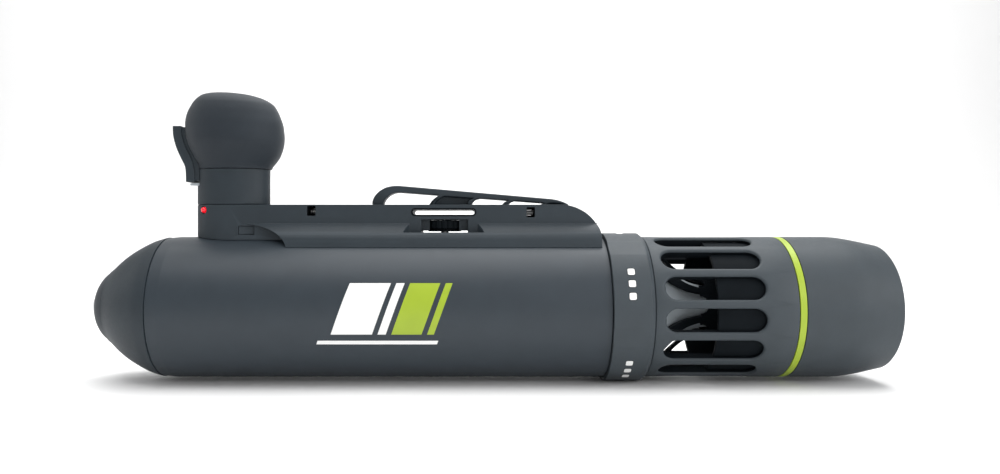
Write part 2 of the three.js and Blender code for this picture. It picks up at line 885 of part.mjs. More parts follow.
function carryBow() {
  const foot = SADDLE_TOP + GAP;
  const outline = new THREE.Shape();
  outline.moveTo(-87, foot);
  outline.bezierCurveTo(-86, 87, -77, 95.4, -66, 95.2);
  outline.lineTo(54, 84.8);
  outline.quadraticCurveTo(61.5, 84, 67.5, foot);
  const halfWidth = 7;
  const body = prism(outline, -halfWidth, halfWidth, "side", 7);
  const front = new THREE.Shape();
  front.moveTo(-78.3, 79);
  front.lineTo(-78.3, 81);
  front.quadraticCurveTo(-75, 89.6, -66, chordLow(-66));
  front.lineTo(-34.6, chordLow(-34.6));
  front.quadraticCurveTo(-41, 85, -42, 79);
  const windows = [
    prism(front, -20, 20, "side", 5),
    bowWindow([-9, -2], [14.8, 20], 20),
    bowWindow([20.6, 24.7], [44, 47.6], 20),
  ];
  const web = bowWindow([-39, -31], [-12.6, -7], 20);
  const webCore = block([-50, -2, 70], [0, 2, 100]);
  const holes = [
    rod([-82.5, 0, 70], [-82.5, 0, 87], 1.8, 12),
    rod([60, 0, 70], [60, 0, 82.6], 1.8, 12),
  ];
  return cut(body, ...windows, cut(web, webCore), ...holes);
}

function lashPin([x, z]) {
  return rod([x - 7, 0, z], [x + 7, 0, z], 1.9, 12);
}

function addSaddle() {
  add("saddle", saddle(), darkPlastic);
  add("saddle_gasket", saddleGasket(), seal);
  SADDLE_SCREWS.forEach((x, i) => {
    add(`saddle_screw_${i + 1}`, upwardScrew(x, 46.5, 50.4, 66, 4, 1.95), steel);
  });
  add("status_led", statusLed(), redLens);
  add("clamp_wheel", clampWheel(), blackPlastic);
  add("clamp_screw", rod([WHEEL_X, 0, 57.3], [WHEEL_X, 0, 70.9], 3, 16), steel);
  add("clamp_shoe", block([-43, -9, 71.2], [-17, 9, 71.9]), steel);
  add("carry_bow", carryBow(), darkPlastic);
  add("bow_screw_front", upwardScrew(-82.5, 68, 71.6, 86, 3.2, 1.5), steel);
  add("bow_screw_rear", upwardScrew(60, 68, 71.6, 82, 3.2, 1.5), steel);
  add("lash_pin_front", lashPin(LASH_SLOTS.front), steel);
  add("lash_pin_rear", lashPin(LASH_SLOTS.rear), steel);
  add("handle_latch", handleLatch(), darkPlastic);
}

// ---------------------------------------------------------------- handle
function triggerPocket() {
  const profile = polygon([
    [-255, 97.4],
    [-205.6, 97.4],
    [-205.6, 110.5],
    [-216.2, 116.5],
    [-217.4, 146.5],
    [-255, 146.5],
  ]);
  const halfWidth = TRIGGER_WIDTH / 2 + 0.5;
  return prism(profile, -halfWidth, halfWidth, "side");
}

function handleNeck() {
  const spigot = prism(ellipse(SOCKET_X, 0, 22, 12.5), 61, 82, "plan", 8);
  const oval = ellipse(SOCKET_X, 0, SOCKET_LENGTH, SOCKET_WIDTH);
  const neck = prism(oval, SADDLE_TOP + GAP, NECK_TOP, "plan", 12);
  const stem = prism(ellipse(SOCKET_X, 0, 14, 9), 106, 155, "plan", 8);
  const [pivotX, pivotZ] = TRIGGER_PIVOT;
  const pinHole = rod([pivotX, -13.2, pivotZ], [pivotX, 20, pivotZ], 1.85, 12);
  const stopSlot = block([-250, -8.4, 95.3], [-211.6, 8.4, 98]);
  return cut(join(spigot, neck, stem), triggerPocket(), pinHole, stopSlot);
}

// The grip bulges over the neck and leans its crown towards the nose.
function handleGrip() {
  const profile = [
    [0, NECK_TOP + GAP],
    [29.2, NECK_TOP + GAP],
    [31, 113],
    [34.4, 119.6],
    [36.9, 126.4],
    [38.2, 133],
    [38.3, 139.8],
    [37.9, 144.5],
    [36.7, 149.3],
    [34.9, 154.1],
    [32, 158.8],
    [26.9, 163.6],
    [21, 166.4],
    [12, 168.3],
    [0, 168.9],
  ];
  const points = profile.map(([halfLength, z]) => new THREE.Vector2(halfLength, z));
  const geometry = new THREE.LatheGeometry(points, 24).rotateX(Math.PI / 2);
  const position = geometry.getAttribute("position");
  for (let i = 0; i < position.count; i += 1) {
    const z = position.getZ(i);
    const rise = Math.max(0, z - 152) / 17;
    const lean = -10.5 * rise * rise;
    const swell = THREE.MathUtils.smoothstep(z, NECK_TOP, 130);
    const narrow = THREE.MathUtils.lerp(SOCKET_WIDTH / SOCKET_LENGTH, 0.735, swell);
    position.setX(i, position.getX(i) + GRIP_X + lean);
    position.setY(i, position.getY(i) * narrow);
  }
  const bulb = solid(geometry);
  const outside = bulb.volume() < 0 ? solid(flipped(geometry)) : bulb;
  const stemRoom = prism(ellipse(SOCKET_X, 0, 14.4, 9.4), 100, 155.4, "plan", 8);
  return cut(outside, stemRoom, triggerPocket());
}

// The same geometry with its faces turned round.
function flipped(geometry) {
  const turnedOver = geometry.clone();
  const index = turnedOver.index.array;
  for (let i = 0; i < index.length; i += 3) {
    [index[i + 1], index[i + 2]] = [index[i + 2], index[i + 1]];
  }
  return turnedOver;
}

function trigger() {
  const [pivotX, pivotZ] = TRIGGER_PIVOT;
  const face = new THREE.Shape();
  face.moveTo(-243, 142);
  face.quadraticCurveTo(-243, 124, -236, 115);
  face.quadraticCurveTo(-232.6, 110, -232.5, 98);
  face.lineTo(-222, 98);
  face.lineTo(-222, 112);
  face.lineTo(-226, 142);
  const halfWidth = TRIGGER_WIDTH / 2;
  const paddle = prism(face, -halfWidth, halfWidth, "side", 6);
  const lug = new THREE.Shape();
  lug.moveTo(-224, 99.6);
  lug.lineTo(pivotX, pivotZ - 4.4);
  lug.absarc(pivotX, pivotZ, 4.4, -Math.PI / 2, Math.PI / 2);
  lug.lineTo(-224, 110);
  const hinge = prism(lug, -4.2, 4.2, "side", 6);
  const bore = rod([pivotX, -20, pivotZ], [pivotX, 20, pivotZ], 1.85, 12);
  return cut(join(paddle, hinge), bore);
}

// A coil of wire about the trigger's pin, beside its lug.
class Coil extends THREE.Curve {
  constructor(centre, radius, pitch, turns) {
    super();
    Object.assign(this, { centre, radius, pitch, turns });
  }

  getPoint(t, target = new THREE.Vector3()) {
    const angle = t * this.turns * Math.PI * 2;
    const [x, y, z] = this.centre;
    return target.set(
      x + this.radius * Math.cos(angle),
      y + this.pitch * this.turns * t,
      z + this.radius * Math.sin(angle),
    );
  }
}

function wireShape(radius) {
  const corners = [];
  for (let i = 0; i < 6; i += 1) {
    const angle = (i * Math.PI) / 3;
    corners.push([radius * Math.cos(angle), radius * Math.sin(angle)]);
  }
  return polygon(corners);
}

function triggerSpring() {
  const [x, z] = TRIGGER_PIVOT;
  const path = new Coil([x, 4.95, z], 2.75, 1.15, 2.5);
  const geometry = new THREE.ExtrudeGeometry(wireShape(0.42), {
    steps: 20,
    extrudePath: path,
    bevelEnabled: false,
  });
  return solid(geometry);
}

// A pale half-round stop under the trigger.
function triggerStop() {
  const shape = new THREE.Shape();
  shape.moveTo(-212, -7.8);
  shape.lineTo(-212, 7.8);
  shape.lineTo(-224, 7.8);
  shape.absellipse(-224, 0, 7.6, 7.8, Math.PI / 2, (3 * Math.PI) / 2);
  return prism(shape, 95.7, 97.2, "plan", 8);
}

function latchSpring() {
  const middle = (LATCH.x0 + LATCH.x1) / 2;
  const height = (LATCH.z0 + LATCH.z1) / 2;
  return rod([middle, -12.1, height], [middle, -11.9, height], 2.2, 12);
}

function addHandle() {
  const [pivotX, pivotZ] = TRIGGER_PIVOT;
  add("handle_neck", handleNeck(), darkPlastic);
  add("handle_grip", handleGrip(), softRubber);
  add("trigger", trigger(), darkPlastic);
  add("trigger_pin", rod([pivotX, -12.9, pivotZ], [pivotX, 12.9, pivotZ], 1.5, 12), steel);
  add("trigger_spring", triggerSpring(), steel);
  add("trigger_sensor", block([-207.4, -6, 99.5], [-206, 6, 109.5]), board);
  add("trigger_stop", triggerStop(), paleMetal);
  add("latch_spring", latchSpring(), steel);
}

addNose();
addHull();
addDriveUnit();
addSaddle();
addHandle();

export default scooter;
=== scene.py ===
# Underwater scooter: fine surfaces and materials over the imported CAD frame.
# Outlines are in millimetres from the hull's axis; objects are in metres.
import json
import math

import bmesh
import bpy
from mathutils import Matrix, Vector

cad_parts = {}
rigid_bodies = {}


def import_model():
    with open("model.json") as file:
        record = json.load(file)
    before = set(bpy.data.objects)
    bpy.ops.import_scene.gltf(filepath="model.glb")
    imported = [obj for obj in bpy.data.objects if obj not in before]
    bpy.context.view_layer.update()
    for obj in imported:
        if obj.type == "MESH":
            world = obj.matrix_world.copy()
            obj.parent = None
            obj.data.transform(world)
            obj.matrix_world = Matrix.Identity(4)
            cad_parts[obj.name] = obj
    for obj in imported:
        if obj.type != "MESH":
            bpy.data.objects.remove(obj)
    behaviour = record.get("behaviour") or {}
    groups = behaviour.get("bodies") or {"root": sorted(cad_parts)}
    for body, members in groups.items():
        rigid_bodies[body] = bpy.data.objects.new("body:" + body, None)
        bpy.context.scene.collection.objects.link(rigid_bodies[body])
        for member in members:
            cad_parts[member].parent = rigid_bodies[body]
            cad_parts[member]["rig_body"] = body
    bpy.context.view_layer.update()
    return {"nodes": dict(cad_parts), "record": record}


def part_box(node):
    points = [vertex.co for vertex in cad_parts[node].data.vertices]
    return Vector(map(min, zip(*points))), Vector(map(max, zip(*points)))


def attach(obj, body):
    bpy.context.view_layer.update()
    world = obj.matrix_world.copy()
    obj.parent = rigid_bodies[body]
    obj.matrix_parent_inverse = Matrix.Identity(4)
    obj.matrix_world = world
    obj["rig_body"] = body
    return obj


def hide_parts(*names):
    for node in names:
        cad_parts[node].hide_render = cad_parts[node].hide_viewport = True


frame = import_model()
scene = bpy.context.scene
scene.view_settings.view_transform = "Standard"

MM = 0.001
NODES = frame["nodes"]
SLOT_OF = {part["node"]: part["material_slot"] for part in frame["record"]["subparts"]}
low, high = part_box("hull_tube")
AXIS_HEIGHT = (low.z + high.z) / 2
TO_FRAME = Matrix.Translation((0, 0, AXIS_HEIGHT)) @ Matrix.Scale(MM, 4)

GAP = 0.3  # between neighbouring shells
HULL_BORE = 51.3
SLEEVE_BORE = 51.4  # inside the collar, the rear of the cage, the ring and the nozzle
GROOVE = 48.7  # floor of the O-ring grooves
BEYOND = 40  # half width of a tool that passes right through the adapter


def extent(node):
    """Lowest and highest corners of a CAD node in millimetres from the hull's axis."""
    down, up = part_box(node)
    lift = Vector((0, 0, AXIS_HEIGHT))
    return (down - lift) / MM, (up - lift) / MM


# ---------------------------------------------------------------- materials
def link(tree, output, socket):
    tree.links.new(output, socket)


def grain_node(tree, coords, scale, detail):
    noise = tree.nodes.new("ShaderNodeTexNoise")
    noise.inputs["Scale"].default_value = scale
    noise.inputs["Detail"].default_value = detail
    link(tree, coords, noise.inputs["Vector"])
    return noise


def surface(name, color, roughness, metallic=0.0, shift=0.12, patch=60.0, grain=1500.0,
            depth=0.00004, strength=0.25, rough_swing=0.06, stretch=None, coat=0.0, sheen=0.0,
            emission=None, specular=0.5, anisotropic=0.0, edge=0.0):
    """A moulded, coated or metal surface with patches of tone, a fine grain and uneven gloss."""
    mat = bpy.data.materials.new(name)
    mat.use_nodes = True
    tree = mat.node_tree
    shader = tree.nodes["Principled BSDF"]
    shader.inputs["Metallic"].default_value = metallic
    shader.inputs["Coat Weight"].default_value = coat
    shader.inputs["Coat Roughness"].default_value = 0.25
    shader.inputs["Sheen Weight"].default_value = sheen
    shader.inputs["Sheen Roughness"].default_value = 0.5
    shader.inputs["Specular IOR Level"].default_value = specular
    shader.inputs["Anisotropic"].default_value = anisotropic
    if emission:
        shader.inputs["Emission Color"].default_value = (*color, 1)
        shader.inputs["Emission Strength"].default_value = emission
    coords = tree.nodes.new("ShaderNodeTexCoord").outputs["Object"]
    if stretch:
        mapping = tree.nodes.new("ShaderNodeMapping")
        mapping.inputs["Scale"].default_value = stretch
        link(tree, coords, mapping.inputs["Vector"])
        coords = mapping.outputs["Vector"]
    tone = grain_node(tree, coords, patch, 3.0)
    ramp = tree.nodes.new("ShaderNodeValToRGB")
    ramp.color_ramp.elements[0].position = 0.3
    ramp.color_ramp.elements[1].position = 0.7
    ramp.color_ramp.elements[0].color = (*[c * (1 - shift) for c in color], 1)
    ramp.color_ramp.elements[1].color = (*[min(1, c * (1 + shift)) for c in color], 1)
    link(tree, tone.outputs["Fac"], ramp.inputs["Fac"])
    base = ramp.outputs["Color"]
    # painted highlight: convex edges, found by pointiness, are lightened to stand in for the light
    # they catch
    if edge:
        geometry = tree.nodes.new("ShaderNodeNewGeometry")
        edge_highlight = tree.nodes.new("ShaderNodeMapRange")
        edge_highlight.inputs["From Min"].default_value = 0.52
        edge_highlight.inputs["From Max"].default_value = 0.6
        edge_highlight.inputs["To Max"].default_value = edge
        link(tree, geometry.outputs["Pointiness"], edge_highlight.inputs["Value"])
        mix = tree.nodes.new("ShaderNodeMix")
        mix.data_type = "RGBA"
        mix.inputs["B"].default_value = (*[min(1, c * 1.8 + 0.01) for c in color], 1)
        link(tree, edge_highlight.outputs["Result"], mix.inputs["Factor"])
        link(tree, base, mix.inputs["A"])
        base = mix.outputs["Result"]
    link(tree, base, shader.inputs["Base Color"])
    gloss = grain_node(tree, coords, patch * 7, 2.0)
    spread = tree.nodes.new("ShaderNodeMapRange")
    spread.inputs["To Min"].default_value = max(0.02, roughness - rough_swing)
    spread.inputs["To Max"].default_value = min(1, roughness + rough_swing)
    link(tree, gloss.outputs["Fac"], spread.inputs["Value"])
    link(tree, spread.outputs["Result"], shader.inputs["Roughness"])
    fine = grain_node(tree, coords, grain, 1.0)
    bump = tree.nodes.new("ShaderNodeBump")
    bump.inputs["Strength"].default_value = strength
    bump.inputs["Distance"].default_value = depth
    link(tree, fine.outputs["Fac"], bump.inputs["Height"])
    link(tree, bump.outputs["Normal"], shader.inputs["Normal"])
    return mat


LOOKS = {
    "hull_coating": surface("hull_coating", (0.026, 0.035, 0.044), 0.46, shift=0.05, grain=2600,
                            depth=0.00003, strength=0.3, rough_swing=0.04, specular=0.35, edge=0.3),
    "dark_plastic": surface("dark_plastic", (0.020, 0.028, 0.035), 0.52, shift=0.07, grain=1900,
                            depth=0.00004, strength=0.35, specular=0.3, edge=0.35),
    "jet_plastic": surface("jet_plastic", (0.039, 0.049, 0.057), 0.52, shift=0.06, grain=1900,
                           depth=0.00004, strength=0.35, specular=0.3, edge=0.3),
    "grip_rubber": surface("grip_rubber", (0.017, 0.023, 0.030), 0.6, shift=0.06, grain=2400,
                           depth=0.00005, strength=0.4, sheen=0.06, specular=0.25),
    "seal_rubber": surface("seal_rubber", (0.012, 0.012, 0.013), 0.45, grain=1200),
    "lime_accent": surface("lime_accent", (0.31, 0.42, 0.020), 0.42, shift=0.04, grain=2000,
                           strength=0.15),
    "stainless": surface("stainless", (0.88, 0.89, 0.90), 0.3, metallic=0.5, shift=0.05,
                         grain=900, stretch=(1, 14, 14), strength=0.12, anisotropic=0.3),
    "pale_metal": surface("pale_metal", (0.36, 0.40, 0.43), 0.48, metallic=0.35, shift=0.06,
                          grain=2600, strength=0.4),
    "black_plastic": surface("black_plastic", (0.005, 0.007, 0.009), 0.6, shift=0.1, grain=1500,
                             strength=0.2, specular=0.05),
    "cell_wrap": surface("cell_wrap", (0.03, 0.16, 0.42), 0.3, shift=0.08, coat=0.4),
    "circuit_board": surface("circuit_board", (0.02, 0.12, 0.05), 0.4, patch=400, shift=0.3),
    "motor_iron": surface("motor_iron", (0.4, 0.2, 0.1), 0.4, metallic=0.8, stretch=(60, 1, 1)),
    "foam": surface("foam", (0.02, 0.02, 0.022), 0.95, grain=900, depth=0.0003, strength=0.8),
    "red_lens": surface("red_lens", (0.85, 0.008, 0.02), 0.2, shift=0.03, coat=0.5, emission=0.55),
    "white_plastic": surface("white_plastic", (0.82, 0.82, 0.81), 0.45, shift=0.02),
    "bronze": surface("bronze", (0.45, 0.3, 0.12), 0.35, metallic=0.9, stretch=(1, 10, 10)),
}


# ---------------------------------------------------------------- meshes
def mesh_object(name, verts, faces):
    mesh = bpy.data.meshes.new(name)
    mesh.from_pydata([tuple(v) for v in verts], [], faces)
    work = bmesh.new()
    work.from_mesh(mesh)
    bmesh.ops.remove_doubles(work, verts=work.verts, dist=0.0005)
    bmesh.ops.recalc_face_normals(work, faces=work.faces)
    work.to_mesh(mesh)
    work.free()
    obj = bpy.data.objects.new(name, mesh)
    scene.collection.objects.link(obj)
    return obj


def rounded(outline, closed):
    """Corners given as (x, r, fillet) become short curves."""
    steps = 4
    longest = 0.48  # share of a side that one corner may take
    points = []
    count = len(outline)
    for i, corner in enumerate(outline):
        here = Vector(corner[:2])
        fillet = corner[2] if len(corner) > 2 else 0
        if not fillet or (not closed and i in (0, count - 1)):
            points.append(tuple(here))
            continue
        back = Vector(outline[i - 1][:2]) - here
        ahead = Vector(outline[(i + 1) % count][:2]) - here
        reach = fillet / max(0.05, math.tan(back.angle(ahead) / 2))
        reach = min(reach, back.length * longest, ahead.length * longest)
        start = here + back.normalized() * reach
        end = here + ahead.normalized() * reach
        for k in range(steps + 1):
            t = k / steps
            points.append(tuple(start * (1 - t) ** 2 + here * 2 * t * (1 - t) + end * t * t))
    return points


def even_angles(sides):
    return [2 * math.pi * i / sides for i in range(sides)]


def revolve(name, outline, angles=None, reach=None):
    """A body turned about the hull's axis; reach may change a radius at an angle."""
    angles = angles or even_angles(168)
    sides = len(angles)
    on_axis = outline[0][1] == 0 and outline[-1][1] == 0
    verts = []
    rows = []
    for x, r in rounded(outline, not on_axis):
        if r < 1e-6:
            rows.append([len(verts)] * sides)
            verts.append((x, 0, 0))
            continue
        rows.append(list(range(len(verts), len(verts) + sides)))
        for angle in angles:
            size = reach(x, r, angle) if reach else r
            verts.append((x, -size * math.cos(angle), size * math.sin(angle)))
    if not on_axis:
        rows.append(rows[0])
    faces = []
    for first, second in zip(rows, rows[1:]):
        for i in range(sides):
            j = (i + 1) % sides
            corners = [first[i], second[i], second[j], first[j]]
            face = [c for k, c in enumerate(corners) if c != corners[k - 1]]
            if len(face) > 2:
                faces.append(face)
    return mesh_object(name, verts, faces)


def spline(points, steps=8):
    """A smooth open curve through the points."""
    out = []
    ends = [points[0]] + list(points) + [points[-1]]
    for i in range(1, len(ends) - 2):
        p0, p1, p2, p3 = (Vector(p) for p in ends[i - 1:i + 3])
        for k in range(steps):
            t = k / steps
            out.append(tuple(0.5 * (2 * p1 + (p2 - p0) * t + (2 * p0 - 5 * p1 + 4 * p2 - p3) * t * t
                                    + (3 * p1 - 3 * p2 + p3 - p0) * t ** 3)))
    out.append(tuple(points[-1]))
    return out


def arc(x, y, rx, ry, start, end, steps):
    """Points of an elliptical arc, in degrees."""
    out = []
    for i in range(steps + 1):
        angle = math.radians(start + (end - start) * i / steps)
        out.append((x + rx * math.cos(angle), y + ry * math.sin(angle)))
    return out


PLANES = {
    "side": lambda a, b, d: (a, d, b),
    "plan": lambda a, b, d: (a, b, d),
    "section": lambda a, b, d: (d, a, b),
}


def prism(name, outline, start, end, plane):
    """An outline in a plane, extruded across it."""
    put = PLANES[plane]
    count = len(outline)
    verts = [put(a, b, start) for a, b in outline] + [put(a, b, end) for a, b in outline]
    faces = [list(range(count)), list(range(2 * count - 1, count - 1, -1))]
    for i in range(count):
        j = (i + 1) % count
        faces.append([i, j, j + count, i + count])
    return mesh_object(name, verts, faces)


def rod(name, start, end, radius, sides=48):
    start, end = Vector(start), Vector(end)
    turn = (end - start).to_track_quat("Z", "Y")
    verts = []
    for base in (start, end):
        for angle in even_angles(sides):
            verts.append(base + turn @ Vector((radius * math.cos(angle), radius * math.sin(angle), 0)))
    faces = [list(range(sides)), list(range(2 * sides - 1, sides - 1, -1))]
    for i in range(sides):
        j = (i + 1) % sides
        faces.append([i, j, j + sides, i + sides])
    return mesh_object(name, verts, faces)


def block(name, lowest, highest):
    (x0, y0, z0), (x1, y1, z1) = lowest, highest
    return prism(name, [(x0, y0), (x1, y0), (x1, y1), (x0, y1)], z0, z1, "plan")


def stadium(x, y, length, width):
    """A slot's outline: two half circles and the straights between them."""
    steps = 12
    straight = (length - width) / 2
    return (arc(x + straight, y, width / 2, width / 2, -90, 90, steps)
            + arc(x - straight, y, width / 2, width / 2, 90, 270, steps))


def applied(obj):
    """The object's modifiers made part of its mesh."""
    graph = bpy.context.evaluated_depsgraph_get()
    graph.update()
    mesh = bpy.data.meshes.new_from_object(obj.evaluated_get(graph))
    obj.modifiers.clear()
    old = obj.data
    obj.data = mesh
    bpy.data.meshes.remove(old)
    return obj


def combine(obj, tools, operation):
    for tool in tools:
        step = obj.modifiers.new("combine", "BOOLEAN")
        step.operation = operation
        step.solver = "EXACT"
        step.object = tool
    applied(obj)
    for tool in tools:
        bpy.data.objects.remove(tool)
    return obj


def cut(obj, *tools):
    return combine(obj, tools, "DIFFERENCE")


def join(obj, *tools):
    return combine(obj, tools, "UNION")


def bevelled(obj, width, segments, angle=32):
    work = bmesh.new()
    work.from_mesh(obj.data)
    bmesh.ops.remove_doubles(work, verts=work.verts, dist=0.002)
    work.to_mesh(obj.data)
    work.free()
    step = obj.modifiers.new("bevel", "BEVEL")
    step.width = width
    step.segments = segments
    step.limit_method = "ANGLE"
    step.angle_limit = math.radians(angle)
    step.use_clamp_overlap = False
    step.miter_outer = "MITER_ARC"
    return applied(obj)


def settle(obj, look, sharp, weighted):
    """Shading, material and place in the frame."""
    mesh = obj.data
    mesh.materials.clear()
    mesh.materials.append(LOOKS[look])
    mesh.transform(TO_FRAME)
    mesh.shade_smooth()
    mesh.set_sharp_from_angle(angle=math.radians(sharp))
    if weighted:
        step = obj.modifiers.new("even_normals", "WEIGHTED_NORMAL")
        step.keep_sharp = True
        step.weight = 60
    return obj


def stand_in(obj, node, sharp=40, weighted=True):
    """The piece takes the place, body and finish of a CAD node."""
    settle(obj, SLOT_OF[node], sharp, weighted)
    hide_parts(node)
    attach(obj, NODES[node]["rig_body"])
    return obj


def trim(obj, body, slot):
    """A small piece that the CAD doesn't hold."""
    settle(obj, slot, 40, True)
    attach(obj, body)
    return obj


def wrapped(name, outlines, radius, thickness):
    """Flat outlines in (x, arc length) laid round the hull axis, the -Y side at zero."""
    verts = []
    faces = []
    for rows in outlines:
        start = len(verts)
        across = len(rows[0])
        for lift in (0, thickness):
            for row in rows:
                for x, s in row:
                    angle = s / radius
                    size = radius + lift
                    verts.append((x, -size * math.cos(angle), size * math.sin(angle)))
        down = len(rows)
        layer = down * across

        def at(level, i, j):
            return start + level * layer + i * across + j

        for i in range(down - 1):
            for j in range(across - 1):
                for level in (0, 1):
                    faces.append([at(level, i, j), at(level, i + 1, j),
                                  at(level, i + 1, j + 1), at(level, i, j + 1)])
        rim = [(i, 0) for i in range(down)] + [(down - 1, j) for j in range(1, across)]
        rim += [(i, across - 1) for i in range(down - 2, -1, -1)]
        rim += [(0, j) for j in range(across - 2, 0, -1)]
        for k, (i, j) in enumerate(rim):
            i2, j2 = rim[(k + 1) % len(rim)]
            faces.append([at(0, i, j), at(0, i2, j2), at(1, i2, j2), at(1, i, j)])
    return mesh_object(name, verts, faces)


# ---------------------------------------------------------------- nose
def nose():
    cap_low, cap_high = extent("nose_cap")
    bumper_low, bumper_high = extent("nose_bumper")
    plug_low, plug_high = extent("vent_plug")
    lip = extent("hull_tube")[0].x - GAP
    step = bumper_high.x + GAP
    skirt = cap_high.z - 3.7
    outside = spline([(step, 29.6), (-287.2, 31.8), (-280.2, 38.0), (-273.2, 43.1), (-265.2, 47.8),
                      (-257.2, 51.7), (-250, 54.0), (lip - 0.5, 54.5)], 6)
    outline = [(cap_low.x, 7.3), (cap_low.x, 9), (-296.2, 17.6), (-291.4, 22.4), (step, 22.4)]
    outline += outside
    outline += [(lip, 53.7), (lip, skirt), (-241.2, skirt, 0.2), (-241.2, GROOVE, 0.2),
                (-237.4, GROOVE, 0.2), (-237.4, skirt, 0.2)]
    ridges, pitch, depth = 4, 3, 0.8
    for i in range(ridges):
        x = -235.4 + i * pitch
        outline += [(x, skirt, 0.2), (x + 0.9, skirt - depth, 0.2), (x + 1.8, skirt, 0.2)]
    outline += [(cap_high.x, skirt, 0.5), (cap_high.x, 47, 0.4), (-258, 46.8, 2), (-280, 32, 4),
                (-296, 11), (-296, 5.4), (-299.3, 5.4), (-299.3, 7.3)]
    stand_in(revolve("nose_shell", outline), "nose_cap")

    skin = spline([(bumper_low.x + 0.3, 12.0), (-301.1, 16.1), (-298.5, 20.9), (-295.0, 25.2),
                   (bumper_high.x - 0.2, 28.8)], 6)
    outline = [(bumper_low.x, 10.2, 0.3), (bumper_low.x, 11.1)] + skin
    outline += [(bumper_high.x, 28.5), (bumper_high.x, 22.8), (-291.6, 22.8), (-296.5, 18),
                (-300.8, 10.2)]
    stand_in(revolve("nose_bumper_pad", outline), "nose_bumper")

    head, shank = 9.6, 5
    outline = spline([(plug_low.x, 0), (-308.7, 1.6), (-307.6, 4.2), (-306, 7.5), (-304.6, 9.2)], 4)
    outline += [(-304.1, head, 0.3), (-301.4, head, 0.3), (-301.4, shank),
                (plug_high.x - 1.5, shank, 0.3), (plug_high.x, 3.6), (plug_high.x, 0)]
    plug = revolve("nose_plug", outline, even_angles(72))
    half = 0.9
    slot = block("slot", (plug_low.x - 1, -shank, -half), (plug_low.x + 2.2, shank, half))
    stand_in(cut(plug, slot), "vent_plug", 30)
    for node in ("vent_seal", "nose_seal"):
        o_ring(node)


def o_ring(node):
    down, up = extent(node)
    middle = (down.x + up.x) / 2
    section = (up.x - down.x) / 2
    radius = up.z - section
    outline = arc(middle, radius, section, section, 0, 330, 11)
    stand_in(revolve(node + "_ring", outline, even_angles(120)), node)


# ---------------------------------------------------------------- hull
def hull():
    down, up = extent("hull_tube")
    radius = up.z
    outline = [(down.x, HULL_BORE, 0.5), (down.x, radius - 0.9, 0.4), (down.x + 9, radius, 20),
               (up.x, radius, 0.5), (up.x, HULL_BORE, 0.5)]
    stand_in(revolve("hull_shell", outline, even_angles(240)), "hull_tube")


def slanted(x, width, low_edge, high_edge):
    """Rows of a leaning bar, for wrapping."""
    lean, steps = 0.36, 14
    rows = []
    for i in range(steps + 1):
        s = low_edge + (high_edge - low_edge) * i / steps
        left = x + lean * s
        rows.append([(left, s), (left + width, s)])
    return rows


def side_stripes():
    """Plain slanted bars on both sides."""
    radius = extent("hull_tube")[1].z + 0.02
    thickness = 0.12
    bottom, top = -16, 22
    lime = [slanted(-62, 22, bottom, top), slanted(-36, 5, bottom, top)]
    white = [slanted(-106, 30, bottom, top), slanted(-72, 6, bottom, top)]
    white.append(slanted(-114, 88, bottom - 8, bottom - 5))
    for name, bars, slot in (("side_bars_lime", lime, "lime_accent"),
                             ("side_bars_white", white, "white_plastic")):
        obj = wrapped(name, bars, radius, thickness)
        other = obj.data.copy()
        other.transform(Matrix.Scale(-1, 4, (0, 1, 0)))
        other.flip_normals()
        work = bmesh.new()
        work.from_mesh(obj.data)
        work.from_mesh(other)
        work.to_mesh(obj.data)
        work.free()
        trim(obj, "hull", slot)


# ---------------------------------------------------------------- drive unit
def collar():
    down, up = extent("locking_collar")
    radius = up.y
    flat = -down.z
    edge = math.degrees(math.acos(flat / radius))
    flats = 5
    pitch = 360 / flats
    angles = []
    for k in range(flats):
        middle = -90 + pitch * k
        angles += [middle + edge * t for t in (-1.02, -0.98, -0.6, -0.2, 0.2, 0.6, 0.98, 1.02)]
        start, end = middle + edge * 1.02, middle + pitch - edge * 1.02
        angles += [start + (end - start) * i / 36 for i in range(1, 36)]
    angles = [math.radians(a) for a in angles]

    def reach(x, r, angle):
        turned = (math.degrees(angle) + 90 + pitch / 2) % pitch - pitch / 2
        return min(r, flat / math.cos(math.radians(turned)))

    inner, groove = SLEEVE_BORE, 53.7
    outline = [(down.x, inner, 0.3), (down.x, radius, 0.5), (up.x - 3.0, radius, 0.6),
               (up.x, radius - 2.6, 0.5), (up.x, inner, 0.3), (114.6, inner), (114.6, groove),
               (109.4, groove), (109.4, inner)]
    stand_in(revolve("twist_collar", outline, angles, reach), "locking_collar", 24)

    # three white marks on each rounded stretch, a thin dark edge round each
    mark_x, square, first, apart = 107.3, 5.2, -50.5, 9.3
    marks = []
    rims = []
    for k in range(flats):
        for step in (-apart, 0, apart):
            middle = math.radians(first + pitch * k + step) * radius
            marks.append(soft_square(mark_x, middle, square, 1.0))
            rims.append(soft_square(mark_x, middle, square + 0.9, 1.4))
    trim(wrapped("index_marks", marks, radius - 0.1, 0.13), "collar", "white_plastic")
    trim(wrapped("index_mark_rims", rims, radius - 0.1, 0.11), "collar", "black_plastic")


def soft_square(x, s, size, corner):
    """Rows of a square with rounded corners, for wrapping."""
    steps = 10
    half = size / 2
    rows = []
    for i in range(steps + 1):
        v = -half + size * i / steps
        over = max(0, abs(v) - (half - corner))
        width = half - corner + math.sqrt(max(0, corner * corner - over * over))
        rows.append([(x + width * (2 * j / 4 - 1), s + v) for j in range(5)])
    return rows


